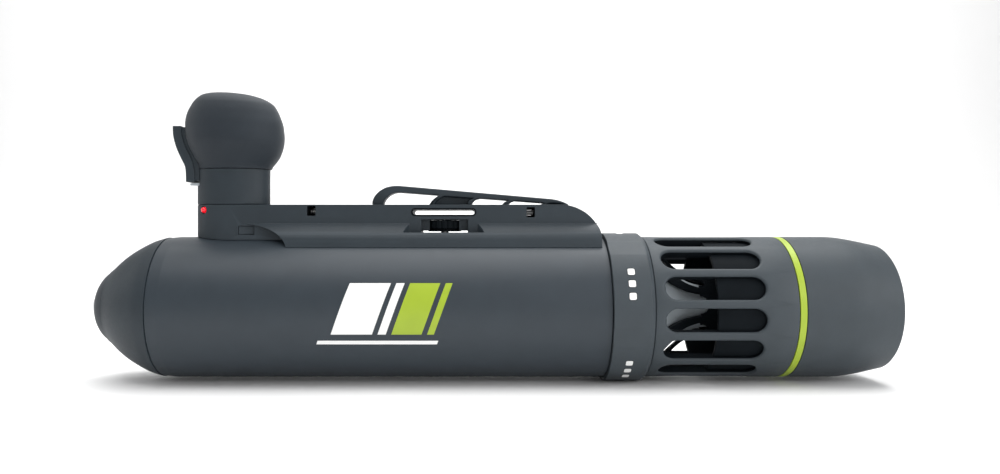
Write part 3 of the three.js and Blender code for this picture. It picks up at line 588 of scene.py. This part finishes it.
def motor_housing():
    down, up = extent("motor_housing")
    spigot, rear, inside, shaft_room = 50.8, 47.5, 44, 14
    outline = [(down.x, shaft_room, 1), (down.x, spigot, 1.2), (82, spigot, 0.2), (82, GROOVE, 0.2),
               (85.8, GROOVE, 0.2), (85.8, spigot, 0.2), (110, spigot), (110, up.z, 0.3),
               (114, up.z, 0.3), (114, spigot), (124.3, spigot, 0.2), (124.3, rear), (up.x, rear),
               (up.x, inside), (62, inside), (62, shaft_room)]
    stand_in(revolve("motor_housing_shell", outline), "motor_housing")
    o_ring("spigot_seal")


# station and radius of the fairing behind the motor
TRUMPET = [(137.5, 45.4), (141.5, 40.6), (146.5, 35.8), (151.5, 31.4), (156.5, 27.8), (163.8, 24),
           (172, 21.6), (180, 21)]


def guide_and_cone():
    down, up = extent("guide_cage")
    hub = 21.0
    line = spline(TRUMPET, 5)
    skin = 2.4
    inside = [(x - 1, r - skin) for x, r in reversed(line)]
    outline = [(down.x, 45.6), (down.x, up.z), (134, up.z)] + line
    outline += [(up.x, hub, 0.4), (up.x, 9.4), (192, 9.4), (192, 16.8)] + inside
    cage = revolve("guide_struts", outline, even_angles(144))
    strut, count, phase = 14, 6, 37.7  # a strut's width in degrees, how many, the first one's turn
    window_start, window_end, round_at, outside = 134, 167, 17, 60
    half = math.radians((360 / count - strut) / 2)
    tools = []
    for i in range(count):
        turn = Matrix.Rotation(math.radians(-(phase + (i + 0.5) * 360 / count)), 4, "X")
        shape = [(0, 0)] + [(-outside * math.cos(a), outside * math.sin(a))
                            for a in (half * (2 * k / 12 - 1) for k in range(13))]
        wedge = prism("wedge", shape, window_start, window_end, "section")
        end = rod("end", (window_end, 0, 0), (window_end, -outside, 0), round_at * math.sin(half), 40)
        tool = join(wedge, end)
        tool.data.transform(turn)
        tools.append(tool)
    cut(cage, *tools)
    stand_in(bevelled(cage, 0.35, 2, 40), "guide_cage", 32)

    low_cone, high_cone = extent("flow_cone")
    drop = 4.7
    skin = [(x - 1.5, r - drop) for x, r in line]
    outline = [(low_cone.x, 11.4), (low_cone.x, 43.6), (131.4, 43.6)] + skin
    outline += [(high_cone.x, 16.2, 0.5), (high_cone.x, 9.3), (181, 9.3), (181, 5.6), (126.5, 5.6),
                (126.5, 11.4)]
    stand_in(revolve("flow_trumpet", outline, even_angles(120)), "flow_cone")


def intake_cage():
    """One slot and the wall round it, repeated about the axis."""
    down, up = extent("intake_cage")
    outer = up.z
    rib = 48  # the ribs' bore in front of the duct
    shoulder = extent("duct_liner")[0].x - GAP
    front_slot, rear_slot, width = 132.1, 205.6, 18.0
    slots, phase = 14, -6.2
    pitch = 2 * math.pi / slots
    middle = (front_slot + rear_slot) / 2
    straight = (rear_slot - front_slot - width) / 2
    arc_steps = 24
    half = width / 2
    # the slot's rounded lip: how far outside the edge, how deep
    lip = [(1.9, 0.0), (1.35, 0.10), (0.85, 0.32), (0.42, 0.72), (0.12, 1.25), (0.0, 1.9)]
    # stations along a straight edge, with a pair where the bore steps
    split = (middle + straight - shoulder) / (2 * straight)
    nudge = 0.005
    along = [0, split / 3, split * 2 / 3, split - nudge, split + nudge]
    along += [split + (1 - split) * k / 10 for k in range(1, 10)]
    line_steps = len(along)

    def bore(x):
        return rib if x < shoulder else SLEEVE_BORE

    total = 2 * (arc_steps + line_steps)

    def edge_point(i, grow):
        """A point of the slot's edge, offset outwards, and where it meets the cell's border."""
        size = half + grow
        count = arc_steps
        quarter = count // 4
        if i < count:
            angle = math.radians(-90 + 180 * i / count)
            here = (middle + straight + size * math.cos(angle), size * math.sin(angle))
            side = 1
            k = i
        elif i < count + line_steps:
            t = along[i - count]
            return (middle + straight - 2 * straight * t, size), ("top", t)
        elif i < 2 * count + line_steps:
            k = i - count - line_steps
            angle = math.radians(90 + 180 * k / count)
            here = (middle - straight + size * math.cos(angle), size * math.sin(angle))
            side = -1
        else:
            t = 1 - along[total - i] if i > 2 * count + line_steps else 0
            return (middle - straight + 2 * straight * t, -size), ("bottom", t)
        sign = -side
        if k < quarter:
            return here, ("run", side, sign, k / quarter)
        if k > count - quarter:
            return here, ("run", side, -sign, (count - k) / quarter)
        return here, ("end", side, sign * (1 - 2 * (k - quarter) / (count - 2 * quarter)))

    border_half = pitch / 2

    def border(i, front, rear):
        """Where the edge's point i meets the cell's border, as a station and an angle."""
        kind = edge_point(i, 0)[1]
        if kind[0] == "top":
            return middle + straight - 2 * straight * kind[1], border_half
        if kind[0] == "bottom":
            return middle - straight + 2 * straight * kind[1], -border_half
        if kind[0] == "run":
            _, side, sign, t = kind
            start = middle + side * straight
            end = rear if side > 0 else front
            return start + (end - start) * t, sign * border_half
        _, side, t = kind
        return (rear if side > 0 else front), t * border_half

    verts = []
    faces = []
    for n in range(slots):
        centre = math.radians(phase) + n * pitch
        rings = []

        def ring(points):
            start = len(verts)
            for x, angle, r in points:
                verts.append((x, -r * math.cos(centre + angle), r * math.sin(centre + angle)))
            rings.append(range(start, start + len(points)))

        ring([(*border(i, down.x + 0.5, up.x - 0.5), outer) for i in range(total)])
        for grow, sink in lip:
            points = []
            for i in range(total):
                x, s = edge_point(i, grow)[0]
                points.append((x, s / outer, outer - sink))
            ring(points)
        for grow, rise in ((0.0, 0.4), (0.3, 0.0)):
            points = []
            for i in range(total):
                x, s = edge_point(i, grow)[0]
                points.append((x, s / outer, bore(x) + rise))
            ring(points)
        inner = [border(i, down.x, up.x) for i in range(total)]
        ring([(x, angle, bore(x)) for x, angle in inner])
        for first, second in zip(rings, rings[1:]):
            for i in range(total):
                j = (i + 1) % total
                faces.append([first[i], second[i], second[j], first[j]])
    around = []
    steps = arc_steps - 2 * (arc_steps // 4)
    for n in range(slots):
        centre = math.radians(phase) + n * pitch
        for k in range(steps):
            around.append(centre - border_half + pitch * k / steps)
    ends = [
        [(down.x, rib), (down.x, outer - 0.5), (down.x + 0.15, outer - 0.15),
         (down.x + 0.5, outer)],
        [(up.x - 0.5, outer), (up.x - 0.15, outer - 0.15), (up.x, outer - 0.5),
         (up.x, SLEEVE_BORE)],
    ]
    for profile in ends:
        rows = []
        for x, r in profile:
            rows.append(range(len(verts), len(verts) + len(around)))
            verts += [(x, -r * math.cos(a), r * math.sin(a)) for a in around]
        for first, second in zip(rows, rows[1:]):
            for i in range(len(around)):
                j = (i + 1) % len(around)
                faces.append([first[i], second[i], second[j], first[j]])
    shell = stand_in(mesh_object("intake_shell", verts, faces), "intake_cage", 50, False)
    # painted shade: the inner faces of the cage behind its front rim take the near-black material, for
    # the shadow inside the cage
    shell.data.materials.append(LOOKS["black_plastic"])
    axis = Vector((0, 0, AXIS_HEIGHT))
    for face in shell.data.polygons:
        out = face.center - axis
        out.x = 0
        if out.length < (SLEEVE_BORE + 1.6) * MM and face.center.x > (down.x + 1) * MM:
            face.material_index = 1


def ring_and_nozzle():
    down, up = extent("accent_ring")
    seam = 0.2
    front, rear, rim = down.x + seam, up.x - seam, up.z - 0.05
    outline = [(front, SLEEVE_BORE), (front, rim, 0.35), (rear, rim, 0.35), (rear, SLEEVE_BORE)]
    stand_in(revolve("lime_ring", outline, even_angles(240)), "accent_ring")

    front = up.x + GAP
    up = extent("nozzle")[1]
    radius = up.z
    body = spline([(266, radius), (271, radius - 0.08), (277, radius - 0.5), (284, radius - 1.5),
                   (292, radius - 3.0), (300, radius - 4.7), (306.4, radius - 6.1)], 6)
    outline = [(front, SLEEVE_BORE), (front, radius, 0.5)] + body
    outline += [(307.8, radius - 6.4, 0.6), (up.x, radius - 7.6, 0.8), (up.x, 45.4, 0.6),
                (308, 44.6, 0.4), (300, 45.2, 3), (280, 47), (252.6, 47.1), (252.6, SLEEVE_BORE)]
    stand_in(revolve("nozzle_shell", outline, even_angles(240)), "nozzle")

    down, up = extent("duct_liner")
    bore = 47.6
    outline = [(down.x, bore, 0.6), (down.x, up.z, 0.4), (up.x, up.z), (up.x, bore)]
    stand_in(revolve("duct_wall", outline), "duct_liner")


def twisted_blade(name, front, rear, inner, outer, thick, twist):
    """A blade that winds about the hull's axis, with rounded front and rear edges."""
    steps, layers = 24, 8
    verts = []
    rows = []
    profile = []
    for i in range(steps + 1):
        t = i / steps
        round_off = math.sqrt(max(0, 1 - (2 * t - 1) ** 6))
        profile.append((t, thick / 2 * max(0.12, round_off)))
    loop = [(t, h) for t, h in profile] + [(t, -h) for t, h in reversed(profile)]
    for k in range(layers + 1):
        r = inner + (outer - inner) * k / layers
        row = []
        for t, h in loop:
            u = front + (rear - front) * t
            angle = math.radians(twist * t)
            side = Vector((0, math.cos(angle), math.sin(angle)))
            up = Vector((0, -math.sin(angle), math.cos(angle)))
            row.append(len(verts))
            verts.append(Vector((u, 0, 0)) + up * r + side * h)
        rows.append(row)
    faces = [list(rows[0]), list(reversed(rows[-1]))]
    for a, b in zip(rows, rows[1:]):
        for i in range(len(loop)):
            j = (i + 1) % len(loop)
            faces.append([a[i], a[j], b[j], b[i]])
    return mesh_object(name, verts, faces)


def blade_row(body, count, **shape):
    blades = []
    for i in range(count):
        blade = twisted_blade("blade", **shape)
        blade.data.transform(Matrix.Rotation(2 * math.pi * i / count, 4, "X"))
        blades.append(blade)
    return join(body, *blades)


def wheels_of_the_jet():
    down, up = extent("impeller")
    bore, radius = 5.3, 20.6
    outline = [(down.x, bore), (down.x, radius, 0.6), (up.x, radius, 1.2), (up.x, bore)]
    hub = revolve("impeller_wheel", outline, even_angles(96))
    blade_row(hub, 4, front=212, rear=244, inner=18, outer=46.6, thick=2.4, twist=85)
    stand_in(hub, "impeller", 35)

    down, up = extent("stator_vanes")
    outline = [(down.x, 0), (down.x, 20, 0.6), (264, 20.4, 4), (270, 18.6, 4), (277, 14, 4),
               (284, 7.5, 3), (up.x - 0.4, 2.4, 1.5), (up.x, 0)]
    hub = revolve("stator_hub", outline, even_angles(96))
    front, rear = 258, 278
    blade_row(hub, 6, front=front, rear=rear, inner=12, outer=45.6, thick=2.2, twist=-22)
    outline = [(front, 44.8, 0.4), (front, 46.4), (rear, 46.4), (rear, 44.8, 0.4)]
    band = revolve("band", outline, even_angles(120))
    stand_in(join(hub, band), "stator_vanes", 35)

    down, up = extent("drive_shaft")
    outline = [(down.x, 0), (down.x, 5, 0.5), (246, 5, 0.3), (246, 4), (up.x, 4, 0.6), (up.x, 0)]
    stand_in(revolve("shaft", outline, even_angles(64)), "drive_shaft")


# ---------------------------------------------------------------- adapter
SOCKET = (-197.1, 28.4, 17.5)  # the oval under the handle: middle, half length, half width
CREASE = 65.4
WHEEL_X = -30
WEBBING = (-30.5, 74.2)  # middles of the slots across the adapter, as x and z
LASH_SLOTS = ((-132.7, 75.3), (36.7, 74.2))
LATCH_X = (-188.9, -176.7)
LATCH_Z = (56.6, 63.6)
LED_DIRECTION = Vector((-0.54, -0.842, 0))
LED_BALL = 2.2


def led_centre():
    """The middle of the lamp's ball, which reaches the node's lowest X and Y."""
    down, up = extent("status_led")
    return Vector((down.x + LED_BALL, down.y + LED_BALL, (down.z + up.z) / 2))


def adapter():
    up = extent("saddle")[1]
    top, rear, side = up.z, up.x, 17.0
    x, length, width = SOCKET
    corner = 5
    blend = x + 20  # where the oval has widened into the straight sides
    plan = arc(x, 0, length, width, 90, 270, 40)
    plan += [(blend, -side)] + arc(rear - corner, corner - side, corner, corner, -90, 0, 8)
    plan += arc(rear - corner, side - corner, corner, corner, 0, 90, 8) + [(blend, side)]
    body = prism("adapter_body", plan, 40, top, "plan")

    skirt_front, skirt_edge, skirt_y, sweep = -190, 46.6, 29.2, 40
    curve = [(side, CREASE), (side + 4.6, CREASE - 3.4), (side + 8.4, CREASE - 7.4),
             (side + 10.9, CREASE - 12.2), (skirt_y, skirt_edge)]
    curve = spline(curve, 3)
    section = curve + [(-y, z) for y, z in reversed(curve)]
    flare = prism("flare", section, skirt_front, rear, "section")
    sweep_height = CREASE - skirt_edge + 1.05
    sweep_curve = arc(skirt_front, skirt_edge - 1, sweep, sweep_height, 0, 360, 96)[:-1]
    cut(flare, prism("sweep", sweep_curve, -BEYOND, BEYOND, "side"))
    join(body, flare)

    tail = [(rear, 57), (88.8, 62.5), (85.6, 67.8), (79.8, 73.4), (72, 77.7), (64, top)]
    limit = [(-240, 30), (rear, 30)] + spline(tail, 6) + [(-240, top)]
    combine(body, [prism("limit", limit, -50, 50, "side")], "INTERSECT")

    bore = rod("bore", (-260, 0, 0), (120, 0, 0), 55.3, 168)
    recess_floor, room_top = 58.4, 68.5
    room_front, room_rear = -47.8, -11.7
    tools = [bore,
             block("room", (room_front, -BEYOND, recess_floor), (room_rear, BEYOND, 60)),
             rod("wheel_room", (WHEEL_X, 0, 59), (WHEEL_X, 0, room_top), 17.2, 96),
             prism("webbing", stadium(*WEBBING, 48.6, 4.6), -BEYOND, BEYOND, "side")]
    for sign in (-1, 1):
        near, far = sorted((sign * 13, sign * BEYOND))
        tools.append(block("side_room", (room_front, near, recess_floor), (room_rear, far, room_top)))
        plan = [(-56.7, sign * side), (-4.1, sign * side), (6, sign * 34), (-67, sign * 34)]
        tools.append(prism("recess", plan, recess_floor, 95, "plan"))
    socket = prism("socket", arc(x, 0, 22.4, 12.9, 0, 360, 64)[:-1], 60.6, 90, "plan")
    shoe_room = block("shoe_room", (-43.3, -9.3, 70.8), (-16.7, 9.3, 73))
    screw = rod("screw", (WHEEL_X, 0, 50), (WHEEL_X, 0, 72), 3.4, 32)
    tools += [socket, shoe_room, screw]
    web = 0.6
    for lx, lz in LASH_SLOTS:
        for near, far in ((-BEYOND, -web), (web, BEYOND)):
            tools.append(block("lash", (lx - 3.1, near, lz - 3.9), (lx + 3.1, far, lz + 3.7)))
        tools.append(rod("lash_pin", (lx - 7.3, 0, lz), (lx + 7.3, 0, lz), 2.2, 32))
    lamp = led_centre()
    tools.append(rod("led", lamp - LED_DIRECTION * 3.8, lamp + LED_DIRECTION * 6, 3.0, 32))
    tools.append(block("latch", (LATCH_X[0], -30, LATCH_Z[0]), (LATCH_X[1], -11.8, LATCH_Z[1])))
    cut(body, *tools)
    shell = stand_in(bevelled(body, 0.4, 2, 30), "saddle", 35)
    # painted shade: the walls of the lash slots take the near-black material, for the shadow inside
    # them
    shell.data.materials.append(LOOKS["black_plastic"])
    for face in shell.data.polygons:
        for lx, lz in LASH_SLOTS:
            gap = face.center - Vector((lx * MM, 0, lz * MM + AXIS_HEIGHT))
            if abs(gap.x) < 3.3 * MM and abs(gap.z) < 4.1 * MM and abs(gap.y) < 16.9 * MM:
                face.material_index = 1

    # the thin rim round the webbing slot
    for sign, name in ((-1, "slot_rim_near"), (1, "slot_rim_far")):
        rim = prism(name, stadium(*WEBBING, 50.6, 6.4), sign * 16.4, sign * 17.3, "side")
        cut(rim, prism("hole", stadium(*WEBBING, 48.2, 4.0), -20, 20, "side"))
        trim(bevelled(rim, 0.2, 2), "hull", "black_plastic")


def led_and_pins():
    ball = LED_BALL
    dome = [(x, max(0, r)) for x, r in arc(0, 0, ball, ball, 90, 0, 10)]
    outline = [(-3.5, 0), (-3.5, 2.5, 0.3), (-1, 2.5, 0.3), (-1, ball)] + dome[:-1] + [(ball, 0)]
    lens = revolve("status_lens", outline, even_angles(40))
    turn = Vector((1, 0, 0)).rotation_difference(LED_DIRECTION).to_matrix().to_4x4()
    lens.data.transform(Matrix.Translation(led_centre()) @ turn)
    stand_in(lens, "status_led", 50)
    for node in ("lash_pin_front", "lash_pin_rear"):
        down, up = extent(node)
        z = (down.z + up.z) / 2
        pin = rod(node + "_bar", (down.x, 0, z), (up.x, 0, z), 1.9, 32)
        stand_in(bevelled(pin, 0.3, 2), node)


def clamp():
    down, up = extent("clamp_wheel")
    x = (down.x + up.x) / 2
    radius = (up.x - down.x) / 2
    flutes, flute_depth = 20, 0.75
    bore, boss, boss_top = 3.4, 13, 61.4

    def reach(height, r, angle):
        wave = abs(math.cos(angle * flutes / 2))
        return r - (flute_depth * (1 - wave) ** 2 if r > boss + 0.4 else 0)

    outline = [(down.z, bore), (down.z, boss, 0.4), (boss_top, boss), (boss_top, radius, 0.7),
               (up.z, radius, 0.7), (up.z, bore)]
    wheel = revolve("thumb_wheel", outline, even_angles(240), reach)
    stood = Matrix.Translation((x, 0, 0)) @ Matrix.Rotation(math.radians(-90), 4, "Y")
    wheel.data.transform(stood)
    stand_in(wheel, "clamp_wheel", 30)
    down, up = extent("clamp_shoe")
    stand_in(bevelled(block("clamp_plate", down, up), 0.2, 2), "clamp_shoe")


def latch():
    down, up = extent("handle_latch")
    shallow = up.y - 0.3
    wedge = [(down.x, down.y), (up.x, shallow), (down.x, shallow)]
    body = prism("latch_button", wedge, down.z, up.z, "plan")
    plate = block("plate", (down.x, up.y - 0.6, down.z), (up.x, up.y, up.z))
    join(body, plate)
    stand_in(bevelled(body, 0.2, 2), "handle_latch")


def bow():
    foot = extent("carry_bow")[0].z
    hidden = 70  # where the openings end, below the adapter's top
    beyond = 20

    def chord_low(x):
        """Height of the chord's lower edge, which falls towards the rear."""
        return 89.9 + (81.2 - 89.9) * (x + 66) / 118

    front = [(-87, foot), (-86.6, 83.5), (-85, 87), (-81.5, 90.8), (-76.5, 93.7), (-71, 95.0),
             (-66, 95.2)]
    outline = spline(front, 4)
    outline += spline([(54, 84.8), (58, 84.1), (62, 82.9), (65.4, 81.5), (67.5, foot)], 4)
    half = 7
    body = prism("bow_body", outline, -half, half, "side")
    opening = [(-78.3, hidden)]
    opening += spline([(-78.3, 81.2), (-77, 84), (-74, 87.2), (-70, 89.3),
                       (-66, chord_low(-66) + 0.1)], 4)
    opening += spline([(-34.6, chord_low(-34.6)), (-37.6, 85.6), (-40.2, 83.2), (-42, 80.4)], 4)
    opening += [(-42.2, hidden)]
    tools = [prism("front", opening, -beyond, beyond, "side")]
    for left, right in ((((-8.6, 80), (-7.6, 82.2), (-5.4, 84.4), (-1.6, chord_low(-1.6))),
                         ((20.2, chord_low(20.2)), (17.2, 82.6), (15.0, 80))),
                        (((20.6, 80), (21.8, 82), (25.2, chord_low(25.2))),
                         ((48, chord_low(48)), (45.8, 80.6), (44.4, 80)))):
        shape = [(left[0][0], hidden)] + list(left) + list(right) + [(right[-1][0], hidden)]
        tools.append(prism("window", shape, -beyond, beyond, "side"))
    pocket = [(-38.6, hidden), (-38.4, 80.2), (-36, 84), (-30.6, chord_low(-30.6) - 0.2),
              (-6.8, chord_low(-6.8) - 0.2), (-10.6, 84), (-12.6, 80.2), (-12.8, hidden)]
    heel = [(48.6, hidden), (49.6, 80.4), (53.4, 81.7), (60, 81.2), (63.6, 80.4), (64, hidden)]
    for shape, web in ((pocket, 3.2), (heel, 4.6)):
        for sign in (-1, 1):
            tools.append(prism("recess", shape, sign * web, sign * beyond, "side"))
    cut(body, *tools)
    stand_in(bevelled(body, 0.9, 3, 28), "carry_bow", 35)


# ---------------------------------------------------------------- handle
def oval_rows(rows, sides=96, power=2.0):
    """Rings of (z, centre x, half length, half width) joined into a closed body."""
    verts = []
    faces = []
    for z, centre, length, width in rows:
        for angle in even_angles(sides):
            c, s = math.cos(angle), math.sin(angle)
            c = math.copysign(abs(c) ** (2 / power), c)
            s = math.copysign(abs(s) ** (2 / power), s)
            verts.append((centre + length * c, width * s, z))
    for k in range(len(rows) - 1):
        for i in range(sides):
            j = (i + 1) % sides
            a = k * sides
            faces.append([a + i, a + j, a + sides + j, a + sides + i])
    faces.append(list(range(sides)))
    last = (len(rows) - 1) * sides
    faces.append([last + i for i in reversed(range(sides))])
    return verts, faces


def trigger_pocket():
    floor, ceiling, outside = 97.4, 146.5, -255
    outline = [(outside, floor), (-205.6, floor), (-205.6, 110.5), (-216.2, 116.5),
               (-217.4, ceiling), (outside, ceiling)]
    return prism("pocket", outline, -9, 9, "side")


def stem(name, clearance, low, high):
    """The column inside the grip, or with a clearance the room for it."""
    outline = arc(SOCKET[0], 0, 14 + clearance, 9 + clearance, 0, 360, 48)[:-1]
    return prism(name, outline, low, high, "plan")


# height, half length and middle of the grip's level sections
GRIP = [(108.3, 28.9, -196.3), (110.4, 29.4, -195.9), (112.7, 30.7, -195.3), (116, 32.7, -194.9),
        (119.6, 34.4, -194.7), (126.4, 36.9, -195.1), (133, 38.2, -195.7), (139.8, 38.3, -196.3),
        (144.5, 38.0, -196.8), (149.3, 36.8, -197.3), (154.1, 35, -197.5), (158.8, 32.3, -197.7),
        (161.2, 30.1, -198.4), (163.6, 26.9, -199.6), (166, 22, -201.8), (167.3, 17.5, -203.8),
        (168.3, 12, -205.6), (168.8, 6, -206.8), (168.9, 1, -207.2)]


def handle():
    x, length, width = SOCKET
    neck_low = extent("handle_neck")[0]
    top = extent("saddle")[1].z
    grip_low, grip_high = extent("handle_grip")
    rows = [(top + 0.3, x, length - 0.5, width - 0.5), (top + 0.5, x, length - 0.15, width - 0.15),
            (top + 0.9, x, length, width), (98, x, length, width),
            (grip_low.z - 0.5, x, length + 0.1, width + 0.1), (grip_low.z - 0.3, x, length, width)]
    neck = mesh_object("neck_column", *oval_rows(rows))
    spigot = prism("spigot", arc(x, 0, 22, 12.5, 0, 360, 64)[:-1], neck_low.z, 82, "plan")
    join(neck, spigot, stem("stem", 0, 106, 155))
    slot = block("slot", (-250, -8.4, 95.3), (-211.6, 8.4, 98))
    cut(neck, trigger_pocket(), slot)
    stand_in(bevelled(neck, 0.3, 2, 35), "handle_neck", 35)

    base, tallest = GRIP[0][0], GRIP[-1][0]
    stretch = (grip_high.z - base) / (tallest - base)
    neck_ratio, bulb_ratio, swell_height = 0.618, 0.735, 22  # the width over the length
    rows = []
    for z, half, middle in spline(GRIP, 5):
        swell = min(1, max(0, (z - base) / swell_height))
        swell = swell * swell * (3 - 2 * swell)
        narrow = neck_ratio + (bulb_ratio - neck_ratio) * swell
        rows.append((base + (z - base) * stretch, middle, half, half * narrow))
    grip = mesh_object("grip_bulb", *oval_rows(rows, 120, 2.08))
    cut(grip, stem("room", 0.4, 100, 155.4), trigger_pocket())
    stand_in(bevelled(grip, 0.5, 3, 38), "handle_grip", 42)


def trigger():
    down, up = extent("trigger")
    top, bottom = up.z, down.z
    # the lug's lower edge sets the node's lowest point, so the paddle's foot is a little above it
    face = spline([(-243, top), (-242.6, 134), (-240, 124.4), (-236.2, 116), (-233.2, 109),
                   (-232.6, bottom)], 6)
    back = spline([(-236.4, top), (-235.6, 134), (-233, 125.6), (-229.2, 118), (-226.6, 110),
                   (-225.8, bottom)], 6)
    half = 8.5
    paddle = prism("paddle", face + list(reversed(back)), -half, half, "side")
    inner = spline([(-226, top - 0.8), (-225, 126), (-222.4, 112), (-222, bottom + 0.8)], 6)
    web_front = [(fx + 1.2, fz) for fx, fz in face if bottom + 0.8 <= fz <= top - 0.8]
    web = prism("web", web_front + list(reversed(inner)), 1.1 - half, half - 1.1, "side")
    pivot = (-213, 104)
    round_end = 4.4
    lug = [(-224, 99.6)] + arc(*pivot, round_end, round_end, -90, 90, 16) + [(-224, 110)]
    lug = prism("lug", lug, -4.2, 4.2, "side")
    bore = rod("bore", (pivot[0], -20, pivot[1]), (pivot[0], 20, pivot[1]), 1.85, 24)
    join(paddle, web, lug)
    cut(paddle, bore)
    stand_in(bevelled(paddle, 0.45, 3, 35), "trigger", 38)

    down, up = extent("trigger_stop")
    outline = [(up.x, -7.8)] + arc(-224, 0, 7.6, 7.8, 270, 90, 30) + [(up.x, 7.8)]
    stop = prism("stop_plate", outline, down.z, up.z, "plan")
    stand_in(bevelled(stop, 0.25, 2), "trigger_stop")


nose()
hull()
side_stripes()
collar()
motor_housing()
guide_and_cone()
intake_cage()
ring_and_nozzle()
wheels_of_the_jet()
adapter()
led_and_pins()
clamp()
latch()
bow()
handle()
trigger()

for node, obj in NODES.items():
    obj.data.materials.clear()
    obj.data.materials.append(LOOKS[SLOT_OF[node]])
    obj.data.shade_smooth()
    obj.data.set_sharp_from_angle(angle=math.radians(32))


# ---------------------------------------------------------------- stage
def stage():
    """A pale floor that curves up into a backdrop."""
    front, rear, bend, top, half_width = -3.2, 1.6, 0.8, 3.2, 3.6
    profile = [(front, 0.0), (rear, 0.0)]
    profile += [(rear + bend * math.sin(a), bend - bend * math.cos(a))
                for a in (math.pi / 2 * i / 12 for i in range(1, 13))]
    profile.append((rear + bend, top))
    verts = []
    faces = []
    for x in (-half_width, half_width):
        verts += [(x, y, z) for y, z in profile]
    count = len(profile)
    for i in range(count - 1):
        faces.append([i, i + 1, count + i + 1, count + i])
    mesh = bpy.data.meshes.new("studio_floor")
    mesh.from_pydata(verts, [], faces)
    floor = bpy.data.objects.new("studio_floor", mesh)
    scene.collection.objects.link(floor)
    mesh.shade_smooth()
    paper = surface("studio_paper", (0.9, 0.9, 0.9), 0.9, shift=0.01, patch=2, grain=40,
                    depth=0.0001, strength=0.1, specular=0.1)
    mesh.materials.append(paper)


def area_light(name, place, target, size, size_y, power):
    light = bpy.data.lights.new(name, "AREA")
    light.shape = "RECTANGLE"
    light.size = size
    light.size_y = size_y
    light.energy = power
    obj = bpy.data.objects.new(name, light)
    obj.location = place
    obj.rotation_euler = (Vector(target) - Vector(place)).to_track_quat("-Z", "Y").to_euler()
    scene.collection.objects.link(obj)


stage()
area_light("top_box", (0.1, -0.1, 1.5), (0, 0, 0.1), 2.2, 1.2, 28)
area_light("front_box", (1.0, -1.9, 0.9), (0.2, 0, 0.05), 1.2, 1.0, 8)
area_light("right_box", (1.5, -0.9, 0.7), (0.2, 0, 0.05), 0.9, 1.2, 12)
area_light("left_box", (-1.7, 0.1, 0.7), (-0.2, 0, 0.05), 0.9, 1.2, 4)
area_light("backdrop_wash", (0, 0.9, 2.2), (0, 2.2, 0.6), 3.0, 0.8, 50)
world = bpy.data.worlds.new("studio")
world.use_nodes = True
world.node_tree.nodes["Background"].inputs["Color"].default_value = (1, 1, 1, 1)
world.node_tree.nodes["Background"].inputs["Strength"].default_value = 0.38
scene.world = world

# ---------------------------------------------------------------- camera
camera = bpy.data.cameras.new("camera")
camera.sensor_width = 36
camera.lens = 28.4
camera.shift_x = 0.0365
camera.shift_y = -0.0033
camera.clip_start = 0.05
eye = bpy.data.objects.new("camera", camera)
eye.location = (-0.0152, -0.626, 0.115)
eye.rotation_euler = (math.radians(90), 0, 0)
scene.collection.objects.link(eye)
scene.camera = eye
